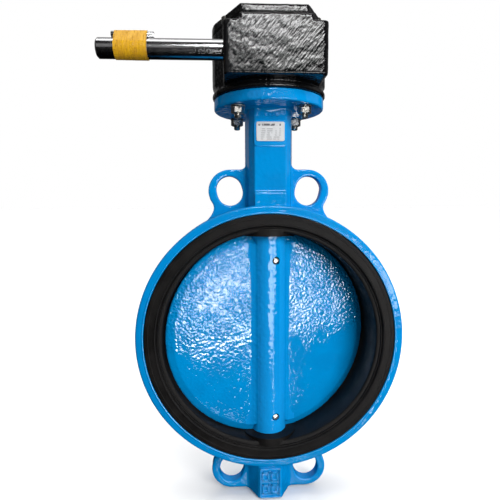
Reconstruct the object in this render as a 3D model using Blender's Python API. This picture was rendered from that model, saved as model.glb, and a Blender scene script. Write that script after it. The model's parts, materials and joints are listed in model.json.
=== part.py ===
"""Wafer butterfly valve, DN 250, with a worm gear operator.

The valve stands with its stem along +Z. The pipe runs along Y, and the front of
the valve, the side of the gear operator's worm, faces -Y. The input shaft points
to -X. The origin is the middle of the flat lower face of the bottom boss, on the
stem axis. Lengths are in metres and angles in degrees.
"""
import math

import bmesh
import bpy
from mathutils import Matrix

# ---------------------------------------------------------------- fits
GAP = 0.0003                  # clearance left between two pieces that touch
WELD = 0.000003               # corners nearer than this are one corner
FINE = 20                     # facets round small pieces
COARSE = 64                   # facets round the big rings

# ---------------------------------------------------------------- valve body
DISC_Z = 0.198                # height of the pipe axis above the bottom boss
FACE_TO_FACE = 0.068          # over the two rubber faces, EN 558 series 20
BODY_HALF_WIDTH = 0.0322      # iron face from the pipe's cross plane
BODY_RADIUS = 0.1555
BODY_BORE = 0.134
BODY_EDGE = 0.002             # chamfer of the ring's outer edges
SEAT_RECESS_RADIUS = 0.1453
SEAT_RECESS_FLOOR = 0.0277
RING_ROOT = 0.138             # from the pipe axis, where neck, boss and lugs run into the ring
NECK_SECTION = [(0.0172, 0.027), (0.0232, 0.019), (0.027, 0.0)]
BOSS_SECTION = [(0.0133, 0.027), (0.0288, 0.0)]
LEDGE_SIZE = (0.036, 0.0305, 0.022)
LEDGE_Z = DISC_Z + 0.158
PAD_SIZE = (0.036, 0.006, 0.0286)
PAD_Z = DISC_Z + 0.2339
PAD_FRONT = 0.0285
TOP_FLANGE_RADIUS = 0.0625    # ISO 5211 F10
TOP_FLANGE_LOW = 0.460
TOP_FLANGE_TOP = 0.472
BOLT_CIRCLE = 0.102           # ISO 5211 F10
BOLT_SQUARE = BOLT_CIRCLE / 2 * math.sin(math.radians(45))
STUD_RADIUS = 0.004
STUD_HOLE = 0.0047
FLANGE_CUT = (0.450, 0.480)   # span of the cutters that pass through the top flange
STEM_CUT = 0.125              # from the pipe axis, where the stem bores of the body start

# ---------------------------------------------------------------- locating lugs
LUG_CIRCLE = 0.355            # flange drilling, PN 16
LUG_ANGLE = 15.0              # half of the 30 degree hole pitch
LUG_X = LUG_CIRCLE / 2 * math.sin(math.radians(LUG_ANGLE))
LUG_RISE = LUG_CIRCLE / 2 * math.cos(math.radians(LUG_ANGLE))
LUG_RADIUS = 0.0247
LUG_HALF_THICKNESS = 0.007
LUG_WAIST_ANGLE = -38.0
LUG_FOOT_X = 0.069
SLOT_RADIUS = 0.015
SLOT_HALF_STRAIGHT = 0.0022
LUG_ROOT = (0.012, 0.140)     # innermost corner of a lug, inside the neck or boss

# ---------------------------------------------------------------- seat and disc
SEAT_OUTER = 0.1337
SEAT_LIP_RADIUS = 0.145
SEAT_LIP_FLOOR = 0.028
SEAT_MOUTH = 0.1315
SEAT_BORE = 0.1243
SEAT_STRAIGHT = 0.028
SEAT_FLAT_ROOT = 0.1285       # from the pipe axis, inside the liner's wall
SEAT_HOLE_SPAN = (0.11, 0.14)
SEAT_FLAT = 0.1195            # flat round the stem, from the disc's centre
SEAT_FLAT_RADIUS = 0.0329
DISC_REST_ANGLE = 11.0        # opening at which the disc stands at rest
DISC_RADIUS = 0.124
DISC_FLAT = 0.1192
DISC_PROFILE = [(0.060, 0.0085), (0.100, 0.0065), (0.1175, 0.0042), (0.1225, 0.0034)]
DISC_RIM_HALF = 0.0016
HUB_RADIUS = 0.021
HUB_BORE_END = 0.044
STEM_RADIUS = 0.014
STEM_HOLE = STEM_RADIUS + GAP
STEM_BORE = 0.016
PIN_RADIUS = 0.004
PIN_OFFSET = 0.0035
PIN_HEIGHTS = {"upper": 0.0905, "lower": -0.0995}
PIN_HALF_LENGTH = 0.0209
STEM_TOP = 0.532
STEM_FOOT = DISC_Z - 0.187

# ---------------------------------------------------------------- gear operator
CASE_BOTTOM = TOP_FLANGE_TOP + GAP
CASE_FLOOR = 0.490
CASE_TOP = 0.539
CASE_RADIUS = 0.065
CASE_CAVITY = 0.054
CASE_FRONT = 0.071
CASE_FRONT_HALF = 0.0345
CASE_SIDE_START = 0.020       # where the round side turns into the slanted one
COVER_LOW = CASE_TOP + 0.0014
COVER_TOP = 0.550
WORM_BOX_X = (-0.050, 0.051)
WORM_BOX_Y = (-0.080, -0.030)
WORM_BOX_Z = (0.481, 0.530)
WORM_HUMP_X = (-0.034, 0.0365)
WORM_HUMP_TOP = 0.535
MODULE = 0.0025
WHEEL_TEETH = 30
WORM_QUOTIENT = 14            # pitch diameter over module
PRESSURE = math.radians(20)
ADDENDUM = MODULE
DEDENDUM = 1.2 * MODULE
PITCH = math.pi * MODULE
WHEEL_PITCH_RADIUS = MODULE * WHEEL_TEETH / 2
WORM_PITCH_RADIUS = MODULE * WORM_QUOTIENT / 2
CENTRE_DISTANCE = WHEEL_PITCH_RADIUS + WORM_PITCH_RADIUS
WORM_Z = 0.510
WHEEL_HALF_FACE = 0.010
WHEEL_TOOTH_HALF = 0.19 * PITCH
WORM_TOOTH_HALF = 0.20 * PITCH
SECTOR_FIRST = -9             # tooth numbers, counted from the one in mesh
SECTOR_LAST = 3
WHEEL_HUB = 0.026
WHEEL_JOURNAL = 0.022
WORM_HALF_LENGTH = 0.022
WORM_SHOULDER = 0.0135
WORM_SHOULDER_X = 0.0335
TUNNEL_RADIUS = 0.0212
TUNNEL_X = (-0.029, 0.031)
BEARING_BORE = 0.016
SHAFT_RADIUS = 0.010
SHAFT_HOLE = SHAFT_RADIUS + GAP
SHAFT_X = (-0.1773, 0.0455)
WORM_PIN_X = 0.0285
STOP_X = 0.028
STOP_RADIUS = 0.005
STOP_TIPS = {"open": (1, 0.0204), "closed": (-1, 0.0238)}
COVER_SCREWS = [(0.048, -0.036), (0.0421, 0.0421), (-0.0421, 0.0421), (-0.048, -0.036)]
COVER_SCREW_RADIUS = 0.003
COVER_SCREW_HOLE = 0.0034
COVER_SCREW_FOOT = 0.529
COVER_HEAD_RADIUS = 0.005
COVER_HEAD_HEIGHT = 0.005
COVER_SINK_RADIUS = 0.0055
COVER_SINK_DEPTH = 0.0055
COVER_SOCKET = 0.005          # across the flats of the head's hexagon socket
COVER_CUT = (0.530, 0.560)    # span of the cutters that pass through the cover
HUMP_BACK_Y = -0.04           # back of the hump, inside the case
BEARING_CUT = 0.06            # reach of the bearing bores to each side
WHEEL_CUT = (0.46, 0.5)       # span of the bore for the worm wheel's journal
STOP_CUT = (0.04, 0.08)       # span of the stop screws' holes in the case
STOP_NUT_CUT = (0.06, 0.09)   # span of the holes in the stop nuts
STUD_CUT = (0.46, 0.4875)     # span of the blind stud holes in the case
SCREW_CUT = (0.5275, 0.56)    # span of the cover screws' holes in the case
POINTER_HUB = 0.012
POINTER_HOLE = POINTER_HUB + GAP
POINTER_RADIUS = 0.023
TAPED_PIN_RADIUS = 0.0032
TAPED_PIN_X = (-0.1628, -0.1206)
TAPED_PIN_RISE = SHAFT_RADIUS + GAP + TAPED_PIN_RADIUS
TAPE_X = (-0.1593, -0.1267)
TAPE_THICKNESS = 0.0008

# ---------------------------------------------------------------- materials
PAINT = {
    "blue_paint": ((0.0, 0.262, 0.700, 1), 0.30, 0.0),
    "black_rubber": ((0.030, 0.032, 0.036, 1), 0.60, 0.0),
    "black_paint": ((0.012, 0.012, 0.013, 1), 0.22, 0.0),
    "steel": ((0.56, 0.56, 0.55, 1), 0.25, 1.0),
    "zinc": ((0.62, 0.61, 0.57, 1), 0.35, 1.0),
    "bronze": ((0.52, 0.34, 0.14, 1), 0.40, 1.0),
    "label": ((0.80, 0.81, 0.80, 1), 0.35, 0.0),
    "tape": ((0.86, 0.48, 0.02, 1), 0.35, 0.0),
    "polymer": ((0.10, 0.10, 0.10, 1), 0.50, 0.0),
    "signal": ((0.70, 0.08, 0.03, 1), 0.40, 0.0),
}


def clear_scene():
    """Remove every object that the file starts with."""
    for thing in list(bpy.data.objects):
        bpy.data.objects.remove(thing, do_unlink=True)


def material(name):
    """Return the named paint, made the first time it is asked for."""
    found = bpy.data.materials.get(name)
    if found:
        return found
    colour, roughness, metallic = PAINT[name]
    made = bpy.data.materials.new(name)
    made.use_nodes = True
    shader = made.node_tree.nodes["Principled BSDF"]
    shader.inputs["Base Color"].default_value = colour
    shader.inputs["Roughness"].default_value = roughness
    shader.inputs["Metallic"].default_value = metallic
    made.diffuse_color = colour
    return made


# ---------------------------------------------------------------- solids
def finish(name, bm, paint, place=(0, 0, 0)):
    """Turn a closed bmesh into a named object standing at the given place."""
    bmesh.ops.recalc_face_normals(bm, faces=bm.faces)
    mesh = bpy.data.meshes.new(name)
    bm.to_mesh(mesh)
    bm.free()
    solid = bpy.data.objects.new(name, mesh)
    solid.location = place
    bpy.context.collection.objects.link(solid)
    mesh.materials.append(material(paint))
    return solid


def along(axis, radius, angle, height):
    """Point at a radius and an angle round an axis, at a height along it."""
    a = radius * math.cos(angle)
    b = radius * math.sin(angle)
    return {"X": (height, a, b), "Y": (a, height, b), "Z": (a, b, height)}[axis]


def turned(name, profile, paint, axis="Z", place=(0, 0, 0), facets=FINE):
    """Solid turned from a closed profile of (radius, height) points."""
    bm = bmesh.new()
    rings = []
    for radius, height in profile:
        if radius == 0:
            rings.append([bm.verts.new(along(axis, 0, 0, height))] * facets)
            continue
        turns = [2 * math.pi * i / facets for i in range(facets)]
        rings.append([bm.verts.new(along(axis, radius, t, height)) for t in turns])
    for lower, upper in zip(rings, rings[1:] + rings[:1]):
        if lower[0] is lower[1] and upper[0] is upper[1]:
            continue
        for i in range(facets):
            j = (i + 1) % facets
            corners = [lower[i], lower[j], upper[j], upper[i]]
            bm.faces.new(list(dict.fromkeys(corners)))
    return finish(name, bm, paint, place)


def rod(name, radius, low, high, paint, axis="Z", place=(0, 0, 0), chamfer=0.0, facets=FINE):
    """Round bar between two heights, with both ends chamfered if asked."""
    profile = [(0, low), (radius - chamfer, low), (radius, low + chamfer),
               (radius, high - chamfer), (radius - chamfer, high), (0, high)]
    return turned(name, list(dict.fromkeys(profile)), paint, axis, place, facets)


def ring(name, inner, outer, low, high, paint, axis="Z", place=(0, 0, 0), facets=FINE):
    """Plain ring, such as a bush or a washer."""
    profile = [(inner, low), (outer, low), (outer, high), (inner, high)]
    return turned(name, profile, paint, axis, place, facets)


def extruded(name, outline, low, high, paint, axis="Z", place=(0, 0, 0)):
    """Prism of an outline of two-coordinate points, extruded along an axis."""
    order = {"X": lambda a, b, h: (h, a, b), "Y": lambda a, b, h: (a, h, b),
             "Z": lambda a, b, h: (a, b, h)}[axis]
    bm = bmesh.new()
    foot = [bm.verts.new(order(a, b, low)) for a, b in outline]
    head = [bm.verts.new(order(a, b, high)) for a, b in outline]
    bm.faces.new(foot)
    bm.faces.new(head)
    for i in range(len(outline)):
        j = (i + 1) % len(outline)
        bm.faces.new([foot[i], foot[j], head[j], head[i]])
    return finish(name, bm, paint, place)


def block(name, x, y, z, paint, place=(0, 0, 0)):
    """Box between pairs of coordinates."""
    outline = [(x[0], y[0]), (x[1], y[0]), (x[1], y[1]), (x[0], y[1])]
    return extruded(name, outline, z[0], z[1], paint, "Z", place)


def arc(centre, radius, start, end, steps):
    """Points along an arc, angles in degrees."""
    turns = [math.radians(start + (end - start) * i / steps) for i in range(steps + 1)]
    return [(centre[0] + radius * math.cos(t), centre[1] + radius * math.sin(t)) for t in turns]


def four_way(quarter):
    """Full outline of a section given by its first quarter, largest y first."""
    right = quarter + [(x, -y) for x, y in reversed(quarter) if y > 0]
    left = [(-x, y) for x, y in reversed(right) if x > 0]
    return right + left


def combine(target, tool, operation):
    """Join or cut the target with the tool, which is used up."""
    change = target.modifiers.new(operation, "BOOLEAN")
    change.operation = operation
    change.object = tool
    change.solver = "EXACT"
    bpy.context.view_layer.update()
    graph = bpy.context.evaluated_depsgraph_get()
    result = bpy.data.meshes.new_from_object(target.evaluated_get(graph))
    bm = bmesh.new()
    bm.from_mesh(result)
    bmesh.ops.remove_doubles(bm, verts=bm.verts, dist=WELD)
    bmesh.ops.dissolve_degenerate(bm, edges=bm.edges, dist=WELD)
    bm.to_mesh(result)
    bm.free()
    target.modifiers.clear()
    target.data = result
    bpy.data.objects.remove(tool, do_unlink=True)


def join(target, *tools):
    """Unite the target with each tool in turn."""
    for tool in tools:
        combine(target, tool, "UNION")


def cut(target, *tools):
    """Take each tool away from the target in turn."""
    for tool in tools:
        combine(target, tool, "DIFFERENCE")


def tidy(solid):
    """Shade a finished solid smooth, with its edges kept sharp."""
    solid.data.shade_smooth()
    solid.data.set_sharp_from_angle(angle=math.radians(32))
    return solid


# ---------------------------------------------------------------- valve body
def lug_outline(side, level):
    """Outline of one locating lug; side and level are +1 or -1."""
    eye = (LUG_X, LUG_RISE)
    points = [LUG_ROOT, (LUG_FOOT_X, RING_ROOT)]
    points += arc(eye, LUG_RADIUS, LUG_WAIST_ANGLE, 90, 10)
    points += [(LUG_ROOT[0], LUG_RISE + LUG_RADIUS)]
    return [(side * x, DISC_Z + level * z) for x, z in points]


def slot_outline(side, level):
    """Outline of a lug's oblong hole, which lies along the pipe's radius."""
    points = arc((0, SLOT_HALF_STRAIGHT), SLOT_RADIUS, 0, 180, 8)
    points += arc((0, -SLOT_HALF_STRAIGHT), SLOT_RADIUS, 180, 360, 8)
    lean = math.radians(LUG_ANGLE)
    placed = []
    for x, z in points:
        across = LUG_X + x * math.cos(lean) + z * math.sin(lean)
        up = LUG_RISE - x * math.sin(lean) + z * math.cos(lean)
        placed.append((side * across, DISC_Z + level * up))
    return placed


def build_body():
    """Iron body: ring, neck, top flange, locating lugs and bottom boss."""
    face = BODY_HALF_WIDTH
    profile = [(BODY_BORE, -SEAT_RECESS_FLOOR), (SEAT_RECESS_RADIUS, -SEAT_RECESS_FLOOR),
               (SEAT_RECESS_RADIUS, -face), (BODY_RADIUS - BODY_EDGE, -face),
               (BODY_RADIUS, BODY_EDGE - face), (BODY_RADIUS, face - BODY_EDGE),
               (BODY_RADIUS - BODY_EDGE, face), (SEAT_RECESS_RADIUS, face),
               (SEAT_RECESS_RADIUS, SEAT_RECESS_FLOOR), (BODY_BORE, SEAT_RECESS_FLOOR)]
    body = turned("body", profile, "blue_paint", "Y", (0, 0, DISC_Z), COARSE)
    shift_to_world(body)
    neck_top = TOP_FLANGE_LOW + 0.004
    join(body, extruded("neck", four_way(NECK_SECTION), DISC_Z + RING_ROOT, neck_top,
                        "blue_paint"))
    half_x, half_y, height = LEDGE_SIZE[0] / 2, LEDGE_SIZE[1], LEDGE_SIZE[2]
    ledge_z = (LEDGE_Z - height / 2, LEDGE_Z + height / 2)
    join(body, block("ledge", (-half_x, half_x), (-half_y, half_y), ledge_z, "blue_paint"))
    join(body, extruded("boss", four_way(BOSS_SECTION), 0, DISC_Z - RING_ROOT, "blue_paint"))
    for side in (1, -1):
        for level in (1, -1):
            lug = extruded("lug", lug_outline(side, level), -LUG_HALF_THICKNESS,
                           LUG_HALF_THICKNESS, "blue_paint", "Y")
            join(body, lug)
    flange = rod("flange", TOP_FLANGE_RADIUS, TOP_FLANGE_LOW, TOP_FLANGE_TOP, "blue_paint",
                 chamfer=0.0008, facets=40)
    pad_x = (-PAD_SIZE[0] / 2, PAD_SIZE[0] / 2)
    pad_y = (-PAD_FRONT, PAD_SIZE[1] - PAD_FRONT)
    pad_z = (PAD_Z - PAD_SIZE[2] / 2, PAD_Z + PAD_SIZE[2] / 2)
    join(body, flange, block("pad", pad_x, pad_y, pad_z, "blue_paint"))
    for side in (1, -1):
        for level in (1, -1):
            cut(body, extruded("slot", slot_outline(side, level), -0.02, 0.02, "blue_paint", "Y"))
            place = (side * BOLT_SQUARE, level * BOLT_SQUARE, 0)
            cut(body, rod("stud_hole", STUD_HOLE, *FLANGE_CUT, "blue_paint", place=place,
                          facets=FINE))
    cut(body, rod("stem_bore", STEM_BORE, DISC_Z + STEM_CUT, FLANGE_CUT[1], "blue_paint"))
    cut(body, rod("foot_bore", STEM_BORE, -0.01, DISC_Z - STEM_CUT, "blue_paint"))
    return tidy(body)


def shift_to_world(solid):
    """Move an object's place into its mesh, so that its origin is the world's."""
    solid.data.transform(Matrix.Translation(solid.location))
    solid.location = (0, 0, 0)


def build_seat():
    """Rubber liner that seals the disc, the stem and the two pipe faces."""
    face = FACE_TO_FACE / 2
    profile = [(SEAT_OUTER, -SEAT_LIP_FLOOR), (SEAT_LIP_RADIUS, -SEAT_LIP_FLOOR),
               (SEAT_LIP_RADIUS, -face), (SEAT_MOUTH, -face), (SEAT_BORE, -SEAT_STRAIGHT),
               (SEAT_BORE, SEAT_STRAIGHT), (SEAT_MOUTH, face), (SEAT_LIP_RADIUS, face),
               (SEAT_LIP_RADIUS, SEAT_LIP_FLOOR), (SEAT_OUTER, SEAT_LIP_FLOOR)]
    seat = turned("seat_liner", profile, "black_rubber", "Y", (0, 0, DISC_Z), COARSE)
    shift_to_world(seat)
    for level in (1, -1):
        low, high = sorted((DISC_Z + level * SEAT_FLAT, DISC_Z + level * SEAT_FLAT_ROOT))
        join(seat, rod("stem_flat", SEAT_FLAT_RADIUS, low, high, "black_rubber", facets=32))
    for level in (1, -1):
        low, high = sorted(DISC_Z + level * reach for reach in SEAT_HOLE_SPAN)
        cut(seat, rod("stem_hole", STEM_HOLE, low, high, "black_rubber"))
    return tidy(seat)


def build_stem_fittings():
    """Bushes and seals round the stem, the bottom plug and the label plate."""
    inner = STEM_HOLE
    outer = STEM_BORE - GAP
    spans = {
        "lower_bush": (DISC_Z - 0.184, DISC_Z - 0.150, "polymer"),
        "lower_stem_seal": (DISC_Z - 0.1485, DISC_Z - 0.1430, "black_rubber"),
        "upper_stem_seal": (DISC_Z + 0.1430, DISC_Z + 0.1485, "black_rubber"),
        "middle_bush": (DISC_Z + 0.150, DISC_Z + 0.184, "polymer"),
        "top_bush": (DISC_Z + 0.228, DISC_Z + 0.262, "polymer"),
        "top_stem_seal": (DISC_Z + 0.2635, DISC_Z + 0.2705, "black_rubber"),
    }
    for name, (low, high, paint) in spans.items():
        tidy(ring(name, inner, outer, low, high, paint))
    tidy(rod("bottom_plug", outer, 0, 0.0085, "zinc"))
    front = PAD_FRONT + GAP
    plate_x = (-0.0158, 0.0154)
    plate_z = (DISC_Z + 0.2252, DISC_Z + 0.2462)
    tidy(block("label_plate", plate_x, (-front - 0.0006, -front), plate_z, "label"))


# ---------------------------------------------------------------- disc and stem
def axis_empty(name, place, turn=0.0):
    """Empty on a joint's axis, which carries the pieces that move with it."""
    carrier = bpy.data.objects.new(name, None)
    carrier.location = place
    carrier.rotation_euler = (0, 0, math.radians(turn))
    bpy.context.collection.objects.link(carrier)
    return carrier


def carry(solid, carrier):
    """Hang a piece on the empty of its joint's axis."""
    solid.parent = carrier
    return tidy(solid)


def pin_hole(height, reach=0.03):
    """Cutter of the taper pin's hole, at a height from the disc's centre."""
    place = (PIN_OFFSET, 0, height)
    return rod("pin_hole", PIN_RADIUS + GAP, -reach, reach, "steel", "Y", place, facets=20)


def build_disc(carrier):
    """Disc with its hub, bored for the two half stems and their pins."""
    front = [(0, -0.0090)] + [(r, -t) for r, t in DISC_PROFILE] + [(DISC_RADIUS, -DISC_RIM_HALF)]
    back = [(r, -y) for r, y in reversed(front)]
    disc = turned("disc", front + back, "blue_paint", "Y", facets=COARSE)
    join(disc, rod("hub", HUB_RADIUS, -DISC_FLAT, DISC_FLAT, "blue_paint", facets=32))
    for level in (1, -1):
        low, high = sorted((level * DISC_FLAT, level * 0.13))
        cut(disc, block("flat", (-0.05, 0.05), (-0.05, 0.05), (low, high), "blue_paint"))
        low, high = sorted((level * HUB_BORE_END, level * 0.13))
        cut(disc, rod("stem_hole", STEM_HOLE, low, high, "blue_paint"))
    for height in PIN_HEIGHTS.values():
        cut(disc, pin_hole(height))
    carry(disc, carrier)


def build_stems(carrier):
    """Half stems above and below the disc, each with its taper pin."""
    top = STEM_TOP - DISC_Z
    upper = rod("upper_stem", STEM_RADIUS, HUB_BORE_END + 0.0015, top, "steel", chamfer=0.001)
    cut(upper, pin_hole(PIN_HEIGHTS["upper"]))
    key_low, key_high = WORM_Z - DISC_Z - 0.015, top + 0.005
    cut(upper, block("keyway", (0.0100, 0.02), (-0.0043, 0.0043), (key_low, key_high), "steel"))
    cut(upper, rod("screw_hole", 0.0033, top - 0.015, top + 0.01, "steel", facets=20))
    lower = rod("lower_stem", STEM_RADIUS, STEM_FOOT - DISC_Z, -HUB_BORE_END - 0.0015, "steel",
                chamfer=0.001)
    cut(lower, pin_hole(PIN_HEIGHTS["lower"]))
    key = block("stem_key", (0.0103, 0.0174), (-0.0040, 0.0040),
                (key_low + GAP, key_low + 0.030), "steel")
    for solid in (upper, lower, key):
        carry(solid, carrier)
    for level, height in PIN_HEIGHTS.items():
        taper = [(0, -PIN_HALF_LENGTH), (PIN_RADIUS, -PIN_HALF_LENGTH),
                 (PIN_RADIUS - 0.0004, PIN_HALF_LENGTH), (0, PIN_HALF_LENGTH)]
        pin = turned(f"taper_pin_{level}", taper, "zinc", "Y", (PIN_OFFSET, 0, height), 20)
        carry(pin, carrier)


# ---------------------------------------------------------------- gearing
def wheel_outline(twist):
    """Outline of the toothed sector, turned by a small twist in radians."""
    step = 2 * math.pi / WHEEL_TEETH
    mesh_angle = -math.pi / 2 - math.radians(DISC_REST_ANGLE) + twist
    root = WHEEL_PITCH_RADIUS - DEDENDUM
    tip = WHEEL_PITCH_RADIUS + ADDENDUM
    root_half = (WHEEL_TOOTH_HALF + DEDENDUM * math.tan(PRESSURE)) / root
    tip_half = (WHEEL_TOOTH_HALF - ADDENDUM * math.tan(PRESSURE)) / tip
    polar = []
    for tooth in range(SECTOR_FIRST, SECTOR_LAST + 1):
        middle = mesh_angle + tooth * step
        polar += [(root, middle - root_half), (tip, middle - tip_half),
                  (tip, middle + tip_half), (root, middle + root_half)]
    first = mesh_angle + (SECTOR_FIRST - 0.5) * step
    last = mesh_angle + (SECTOR_LAST + 0.5) * step
    polar = [(root, first)] + polar + [(root, last)]
    inner = WHEEL_HUB - 0.004
    sweep = [last - (last - first) * i / 12 for i in range(13)]
    polar += [(inner, angle) for angle in sweep]
    return [(r * math.cos(t), r * math.sin(t)) for r, t in polar]


def build_worm_wheel(carrier):
    """Worm wheel: toothed sector on a hub that sits on the stem."""
    slope = MODULE / (2 * WORM_PITCH_RADIUS)
    twist = slope * WHEEL_HALF_FACE / WHEEL_PITCH_RADIUS
    low = WORM_Z - DISC_Z - WHEEL_HALF_FACE
    high = WORM_Z - DISC_Z + WHEEL_HALF_FACE
    bm = bmesh.new()
    foot = [bm.verts.new((x, y, low)) for x, y in wheel_outline(-twist)]
    head = [bm.verts.new((x, y, high)) for x, y in wheel_outline(twist)]
    bm.faces.new(foot)
    bm.faces.new(head)
    for i in range(len(foot)):
        j = (i + 1) % len(foot)
        bm.faces.new([foot[i], foot[j], head[j], head[i]])
    wheel = finish("worm_wheel", bm, "bronze")
    base = CASE_BOTTOM - DISC_Z + 0.0012
    step = CASE_FLOOR - DISC_Z + 0.0008
    crown = STEM_TOP - DISC_Z + 0.001
    hub = [(0, base), (WHEEL_JOURNAL, base), (WHEEL_JOURNAL, step), (WHEEL_HUB, step),
           (WHEEL_HUB, crown), (0, crown)]
    join(wheel, turned("wheel_hub", hub, "bronze", facets=40))
    cut(wheel, rod("wheel_bore", STEM_HOLE, base - 0.01, crown + 0.01, "bronze"))
    cut(wheel, block("keyway", (0.010, 0.0177), (-0.0043, 0.0043), (base - 0.01, crown + 0.01),
                     "bronze"))
    carry(wheel, carrier)


def build_worm(carrier):
    """Single-start right-hand worm with plain shoulders, bored for its shaft."""
    facets = 20
    root = WORM_PITCH_RADIUS - DEDENDUM
    tip = WORM_PITCH_RADIUS + ADDENDUM
    root_half = WORM_TOOTH_HALF + DEDENDUM * math.tan(PRESSURE)
    tip_half = WORM_TOOTH_HALF - ADDENDUM * math.tan(PRESSURE)
    thread = [(-root_half, root), (-tip_half, tip), (tip_half, tip), (root_half, root)]
    turns = range(-4, 5)
    bm = bmesh.new()
    rows = []
    for i in range(facets):
        angle = 2 * math.pi * i / facets
        row = []
        for turn in turns:
            middle = PITCH * (turn + 0.5 + i / facets)
            row += [bm.verts.new(along("X", r, angle, middle + x)) for x, r in thread]
        rows.append(row)
    shift = len(thread)
    for i in range(facets):
        this = rows[i]
        following = rows[i + 1] if i + 1 < facets else rows[0][shift:]
        for m in range(len(following) - 1 if i + 1 == facets else len(this) - 1):
            bm.faces.new([this[m], this[m + 1], following[m + 1], following[m]])
    first = [row[0] for row in rows] + [rows[0][shift]]
    last = [row[-1] for row in rows] + [rows[-1][-1 - shift]]
    bm.faces.new(rows[0][:shift + 1])
    bm.faces.new(rows[-1][-1 - shift:])
    for loop in (first, last):
        middle = sum(vert.co.x for vert in loop) / len(loop)
        centre = bm.verts.new((middle, 0, 0))
        for a, b in zip(loop, loop[1:] + loop[:1]):
            bm.faces.new([a, b, centre])
    worm = finish("worm", bm, "steel")
    trim = rod("trim", 0.03, -WORM_HALF_LENGTH, WORM_HALF_LENGTH, "steel", "X")
    combine(worm, trim, "INTERSECT")
    join(worm, rod("shoulder", WORM_SHOULDER, -WORM_SHOULDER_X, WORM_SHOULDER_X, "steel", "X"))
    cut(worm, rod("worm_bore", SHAFT_HOLE, -0.05, 0.05, "steel", "X"))
    hole = (WORM_PIN_X, 0, 0)
    cut(worm, rod("pin_hole", 0.0033, -0.02, 0.02, "steel", place=hole, facets=20))
    carry(worm, carrier)
    shaft = rod("input_shaft", SHAFT_RADIUS, SHAFT_X[0], SHAFT_X[1], "steel", "X", chamfer=0.0015)
    cut(shaft, rod("pin_hole", 0.0033, -0.02, 0.02, "steel", place=hole, facets=20))
    wheel_hole = (TAPED_PIN_X[0] + 0.011, 0, 0)
    cut(shaft, rod("wheel_hole", 0.0033, -0.02, 0.02, "steel", "Y", wheel_hole, facets=20))
    carry(shaft, carrier)
    carry(rod("worm_pin", 0.003, -0.0132, 0.0132, "steel", place=hole, facets=20), carrier)


def wrap_outline(margin, steps=6):
    """Outline of a band stretched round the shaft and the pin lying on it."""
    big = SHAFT_RADIUS + margin
    small = TAPED_PIN_RADIUS + margin
    lean = math.degrees(math.acos((big - small) / TAPED_PIN_RISE))
    points = arc((0, TAPED_PIN_RISE), small, 90 - lean, 90 + lean, steps)
    points += arc((0, 0), big, 90 + lean, 450 - lean, 3 * steps)
    return points


def build_taped_pin(carrier):
    """Handwheel's spring pin, taped to the input shaft for transport."""
    pin = ring("handwheel_pin", 0.0016, TAPED_PIN_RADIUS, TAPED_PIN_X[0], TAPED_PIN_X[1],
               "steel", "X", (0, 0, TAPED_PIN_RISE), 20)
    carry(pin, carrier)
    tape = extruded("tape", wrap_outline(GAP + TAPE_THICKNESS), TAPE_X[0], TAPE_X[1], "tape", "X")
    hollow = extruded("hollow", wrap_outline(GAP), TAPE_X[0] - 0.01, TAPE_X[1] + 0.01, "tape", "X")
    cut(tape, hollow)
    carry(tape, carrier)


# ---------------------------------------------------------------- gear case
def case_outline(inset=0.0):
    """Plan outline of the gear case: round behind, slanted to a flat front."""
    radius = CASE_RADIUS - inset
    side = math.degrees(math.asin(CASE_SIDE_START / CASE_RADIUS))
    points = arc((0, 0), radius, -side, 180 + side, 28)
    front_y = inset - CASE_FRONT
    points += [(inset * 0.6 - CASE_FRONT_HALF, front_y), (CASE_FRONT_HALF - inset * 0.6, front_y)]
    return points


def build_case():
    """Gear case: round housing with the worm box across its front."""
    case = extruded("gear_case", case_outline(), CASE_BOTTOM + 0.012, CASE_TOP, "black_paint")
    foot = rod("foot", CASE_RADIUS - 0.0002, CASE_BOTTOM, CASE_BOTTOM + 0.02, "black_paint",
               facets=40)
    join(case, foot)
    join(case, block("worm_box", WORM_BOX_X, WORM_BOX_Y, WORM_BOX_Z, "black_paint"))
    hump = [(WORM_BOX_Y[0] + 0.0002, WORM_Z), (HUMP_BACK_Y, WORM_Z), (HUMP_BACK_Y, CASE_TOP - 0.001),
            (-CASE_FRONT - 0.0003, CASE_TOP - 0.001), (WORM_BOX_Y[0] + 0.0002, WORM_HUMP_TOP)]
    join(case, extruded("worm_hump", hump, WORM_HUMP_X[0], WORM_HUMP_X[1], "black_paint", "X"))
    for side in (1, -1):
        place = (side * STOP_X, 0, WORM_Z)
        join(case, rod("stop_boss", 0.0105, 0.055, 0.069, "black_paint", "Y", place))
    cavity = rod("cavity", CASE_CAVITY, CASE_FLOOR, CASE_TOP + 0.01, "black_paint", facets=40)
    cut(case, cavity)
    worm_place = (0, -CENTRE_DISTANCE, WORM_Z)
    cut(case, rod("tunnel", TUNNEL_RADIUS, TUNNEL_X[0], TUNNEL_X[1], "black_paint", "X",
                  worm_place, facets=40))
    cut(case, rod("bearing_bore", BEARING_BORE, -BEARING_CUT, BEARING_CUT, "black_paint", "X", worm_place,
                  facets=40))
    cut(case, rod("wheel_bore", WHEEL_JOURNAL + GAP, *WHEEL_CUT, "black_paint", facets=40))
    for side in (1, -1):
        place = (side * STOP_X, 0, WORM_Z)
        cut(case, rod("stop_hole", STOP_RADIUS + GAP, *STOP_CUT, "black_paint", "Y", place,
                      facets=20))
        for depth in (1, -1):
            place = (side * BOLT_SQUARE, depth * BOLT_SQUARE, 0)
            cut(case, rod("stud_hole", STUD_RADIUS + GAP, *STUD_CUT, "black_paint",
                          place=place, facets=20))
    for x, y in COVER_SCREWS:
        cut(case, rod("screw_hole", COVER_SCREW_RADIUS + GAP, *SCREW_CUT, "black_paint",
                      place=(x, y, 0), facets=16))
    return tidy(case)


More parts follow.
